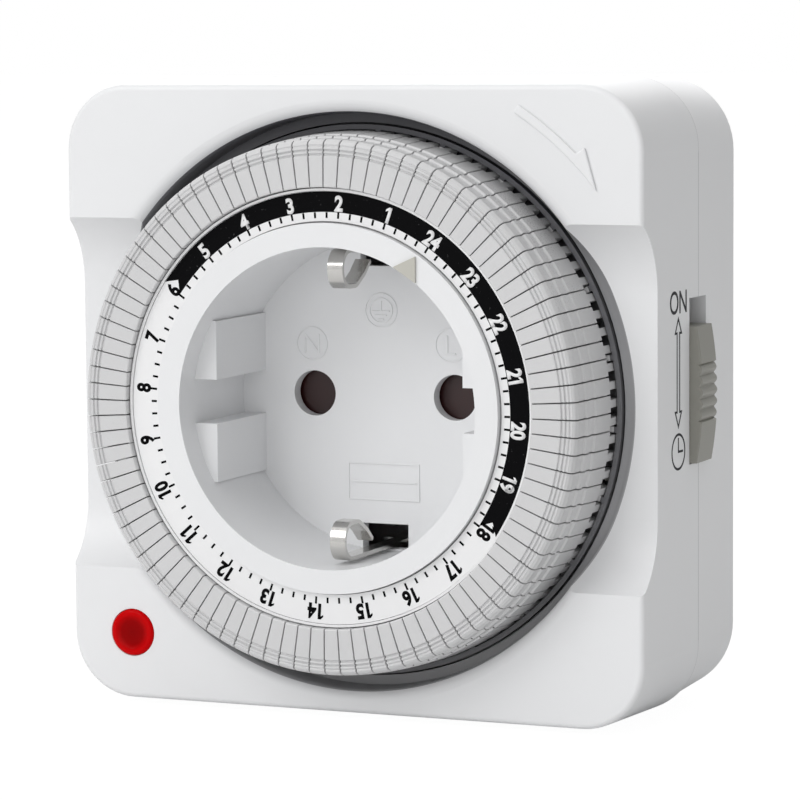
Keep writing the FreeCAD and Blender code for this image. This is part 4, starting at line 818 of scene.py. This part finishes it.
class TIMER_OT_lens(bpy.types.Operator):
    """Spin the lamp's lens with its rounded rim and shallow dish"""
    bl_idname = "timer.lens"
    bl_label = "Lamp Lens"

    def execute(self, context):
        front, back = LENS_LOW[1], LENS_HIGH[1]
        neck, collar, wall = 2.93, 3.23, 2.55
        outline = [(0.0, 0.22), (1.2, 0.21), (1.75, 0.17), (2.0, 0.08), (2.25, 0.0), (2.5, 0.0), (2.72, 0.08),
                   (2.88, 0.25), (neck, 0.5), (neck, wall), (collar, wall)]
        bm = bmesh.new()
        verts = [bm.verts.new((radius * MM, front + depth * MM, 0.0)) for radius, depth in outline]
        verts += [bm.verts.new((collar * MM, back, 0.0)), bm.verts.new((0.0, back, 0.0))]
        edges = [bm.edges.new(pair) for pair in zip(verts, verts[1:])]
        bmesh.ops.spin(bm, geom=verts + edges, cent=(0, 0, 0), axis=(0, 1, 0), angle=2 * math.pi, steps=64,
                       use_merge=True, use_duplicate=False)
        bmesh.ops.translate(bm, verts=bm.verts[:], vec=(LENS_X, 0.0, LENS_Z))
        lens = piece_from(bm, "lens_dish", "housing", "lens_red")
        for face in lens.data.polygons:
            face.use_smooth = True
        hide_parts("lamp_lens")
        return {"FINISHED"}


class TIMER_OT_stage(bpy.types.Operator):
    """Set the pale floor, the soft lamps, the white surroundings and the camera"""
    bl_idname = "timer.stage"
    bl_label = "Stage"

    def floor(self):
        """A wide matt floor, which the camera sees as nearly pure white."""
        half_size, gap, glow, glow_share = 6.0, 0.15 * MM, 1.06, 0.92
        bm = bmesh.new()
        bmesh.ops.create_grid(bm, x_segments=1, y_segments=1, size=half_size)
        bmesh.ops.translate(bm, verts=bm.verts[:], vec=(0, 0, CASE_LOW[2] - gap))
        mesh = bpy.data.meshes.new("floor")
        bm.to_mesh(mesh)
        bm.free()
        floor = bpy.data.objects.new("floor", mesh)
        bpy.context.scene.collection.objects.link(floor)
        shader, strand = start_finish("pale_floor")
        shader.inputs["Base Color"].default_value = (0.86, 0.86, 0.86, 1)
        shader.inputs["Roughness"].default_value = 0.7
        seen = strand.make("ShaderNodeLightPath", output="Is Camera Ray")
        white = strand.make("ShaderNodeEmission", inputs={"Color": (1, 1, 1, 1), "Strength": glow})
        both = strand.make("ShaderNodeMixShader", inputs={
            0: seen * glow_share, 1: Strand(strand.tree, shader.outputs[0]), 2: white})
        join(strand.tree.nodes["Material Output"], "Surface", both)
        mesh.materials.append(finishes["pale_floor"])

    def lamp(self, name, place, width, height, power):
        """A soft rectangular lamp that points at the timer."""
        aim = Vector((0, -0.03, 0))
        light = bpy.data.lights.new(name, "AREA")
        light.shape = "RECTANGLE"
        light.size, light.size_y = width, height
        light.energy = power
        thing = bpy.data.objects.new(name, light)
        thing.location = place
        thing.rotation_euler = (aim - Vector(place)).to_track_quat("-Z", "Y").to_euler()
        bpy.context.scene.collection.objects.link(thing)

    def surroundings(self, scene):
        """A white room, at full strength where it is seen and dimmer as a light."""
        as_light, in_gloss = 0.36, 0.45
        world = bpy.data.worlds.new("white_room")
        scene.world = world
        world.use_nodes = True
        strand = Strand(world.node_tree)
        camera, glossy, through = (strand.make("ShaderNodeLightPath", output=name) for name in (
            "Is Camera Ray", "Is Glossy Ray", "Is Transmission Ray"))
        seen = strand.maths("MINIMUM", camera + glossy * in_gloss + through, 1.0)
        background = world.node_tree.nodes["Background"]
        background.inputs["Color"].default_value = (1, 1, 1, 1)
        join(background, "Strength", as_light + seen * (1 - as_light))

    def camera(self, scene):
        """The photograph's view: its place, its two turns and its roll, and its long lens."""
        place = Vector((182.491, -456.533, 45.289)) * MM
        yaw, pitch, roll = 0.40780, 0.10036, -0.00787
        focal_pixels, frame_pixels, sensor = 3680.8, 800.0, 36.0
        right = Vector((math.cos(yaw), math.sin(yaw), 0.0))
        level = Vector((-math.sin(yaw), math.cos(yaw), 0.0))
        ahead = level * math.cos(pitch) + Vector((0.0, 0.0, -math.sin(pitch)))
        above = right.cross(ahead)
        across = right * math.cos(roll) + above * math.sin(roll)
        upward = above * math.cos(roll) - right * math.sin(roll)
        data = bpy.data.cameras.new("photo_camera")
        data.sensor_width = sensor
        data.sensor_fit = "HORIZONTAL"
        data.lens = focal_pixels / frame_pixels * sensor
        data.clip_start, data.clip_end = 0.01, 50.0
        thing = bpy.data.objects.new("photo_camera", data)
        turn = Matrix((across, upward, -ahead)).transposed().to_4x4()
        thing.matrix_world = Matrix.Translation(place) @ turn
        scene.collection.objects.link(thing)
        scene.camera = thing

    def execute(self, context):
        scene = context.scene
        scene.view_settings.view_transform = "Standard"
        self.floor()
        self.surroundings(scene)
        self.lamp("key", (-0.45, -0.9, 0.7), 0.7, 0.7, 5.6)
        self.lamp("top", (0.0, -0.05, 0.9), 0.8, 0.8, 2.6)
        self.lamp("front", (0.05, -1.1, 0.1), 0.8, 0.6, 2.3)
        self.lamp("back", (-0.3, 0.9, 0.5), 0.8, 0.8, 3.5)
        self.camera(scene)
        return {"FINISHED"}


class TIMER_PT_panel(bpy.types.Panel):
    """Lists the timer's pieces, sizes and colours"""
    bl_idname = "TIMER_PT_panel"
    bl_label = "Plug-in Timer"
    bl_space_type = "VIEW_3D"
    bl_region_type = "UI"
    bl_category = "Timer"

    def draw(self, context):
        layout = self.layout
        for operator in PIECES:
            layout.operator(operator.bl_idname)
        for settings in (context.scene.timer_sizes, context.scene.timer_colours):
            box = layout.box()
            for name in settings.__annotations__:
                box.prop(settings, name)


PIECES = (
    TIMER_OT_finishes, TIMER_OT_tappets, TIMER_OT_hour_print, TIMER_OT_face_arrow, TIMER_OT_socket_signs,
    TIMER_OT_side_print, TIMER_OT_override_grip, TIMER_OT_lens, TIMER_OT_stage)
CLASSES = (TimerSizes, TimerColours) + PIECES + (TIMER_PT_panel,)


def register():
    for item in CLASSES:
        bpy.utils.register_class(item)
    bpy.types.Scene.timer_sizes = bpy.props.PointerProperty(type=TimerSizes)
    bpy.types.Scene.timer_colours = bpy.props.PointerProperty(type=TimerColours)


def unregister():
    del bpy.types.Scene.timer_colours
    del bpy.types.Scene.timer_sizes
    for item in reversed(CLASSES):
        bpy.utils.unregister_class(item)


def corners(bounds):
    """Both corners of a box as plain lists."""
    return [list(corner) for corner in bounds]


def main():
    """Builds the dressed timer."""
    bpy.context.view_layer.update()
    register()
    for operator in PIECES:
        group, name = operator.bl_idname.split(".")
        getattr(getattr(bpy.ops, group), name)()


if __name__ == "__main__":
    main()
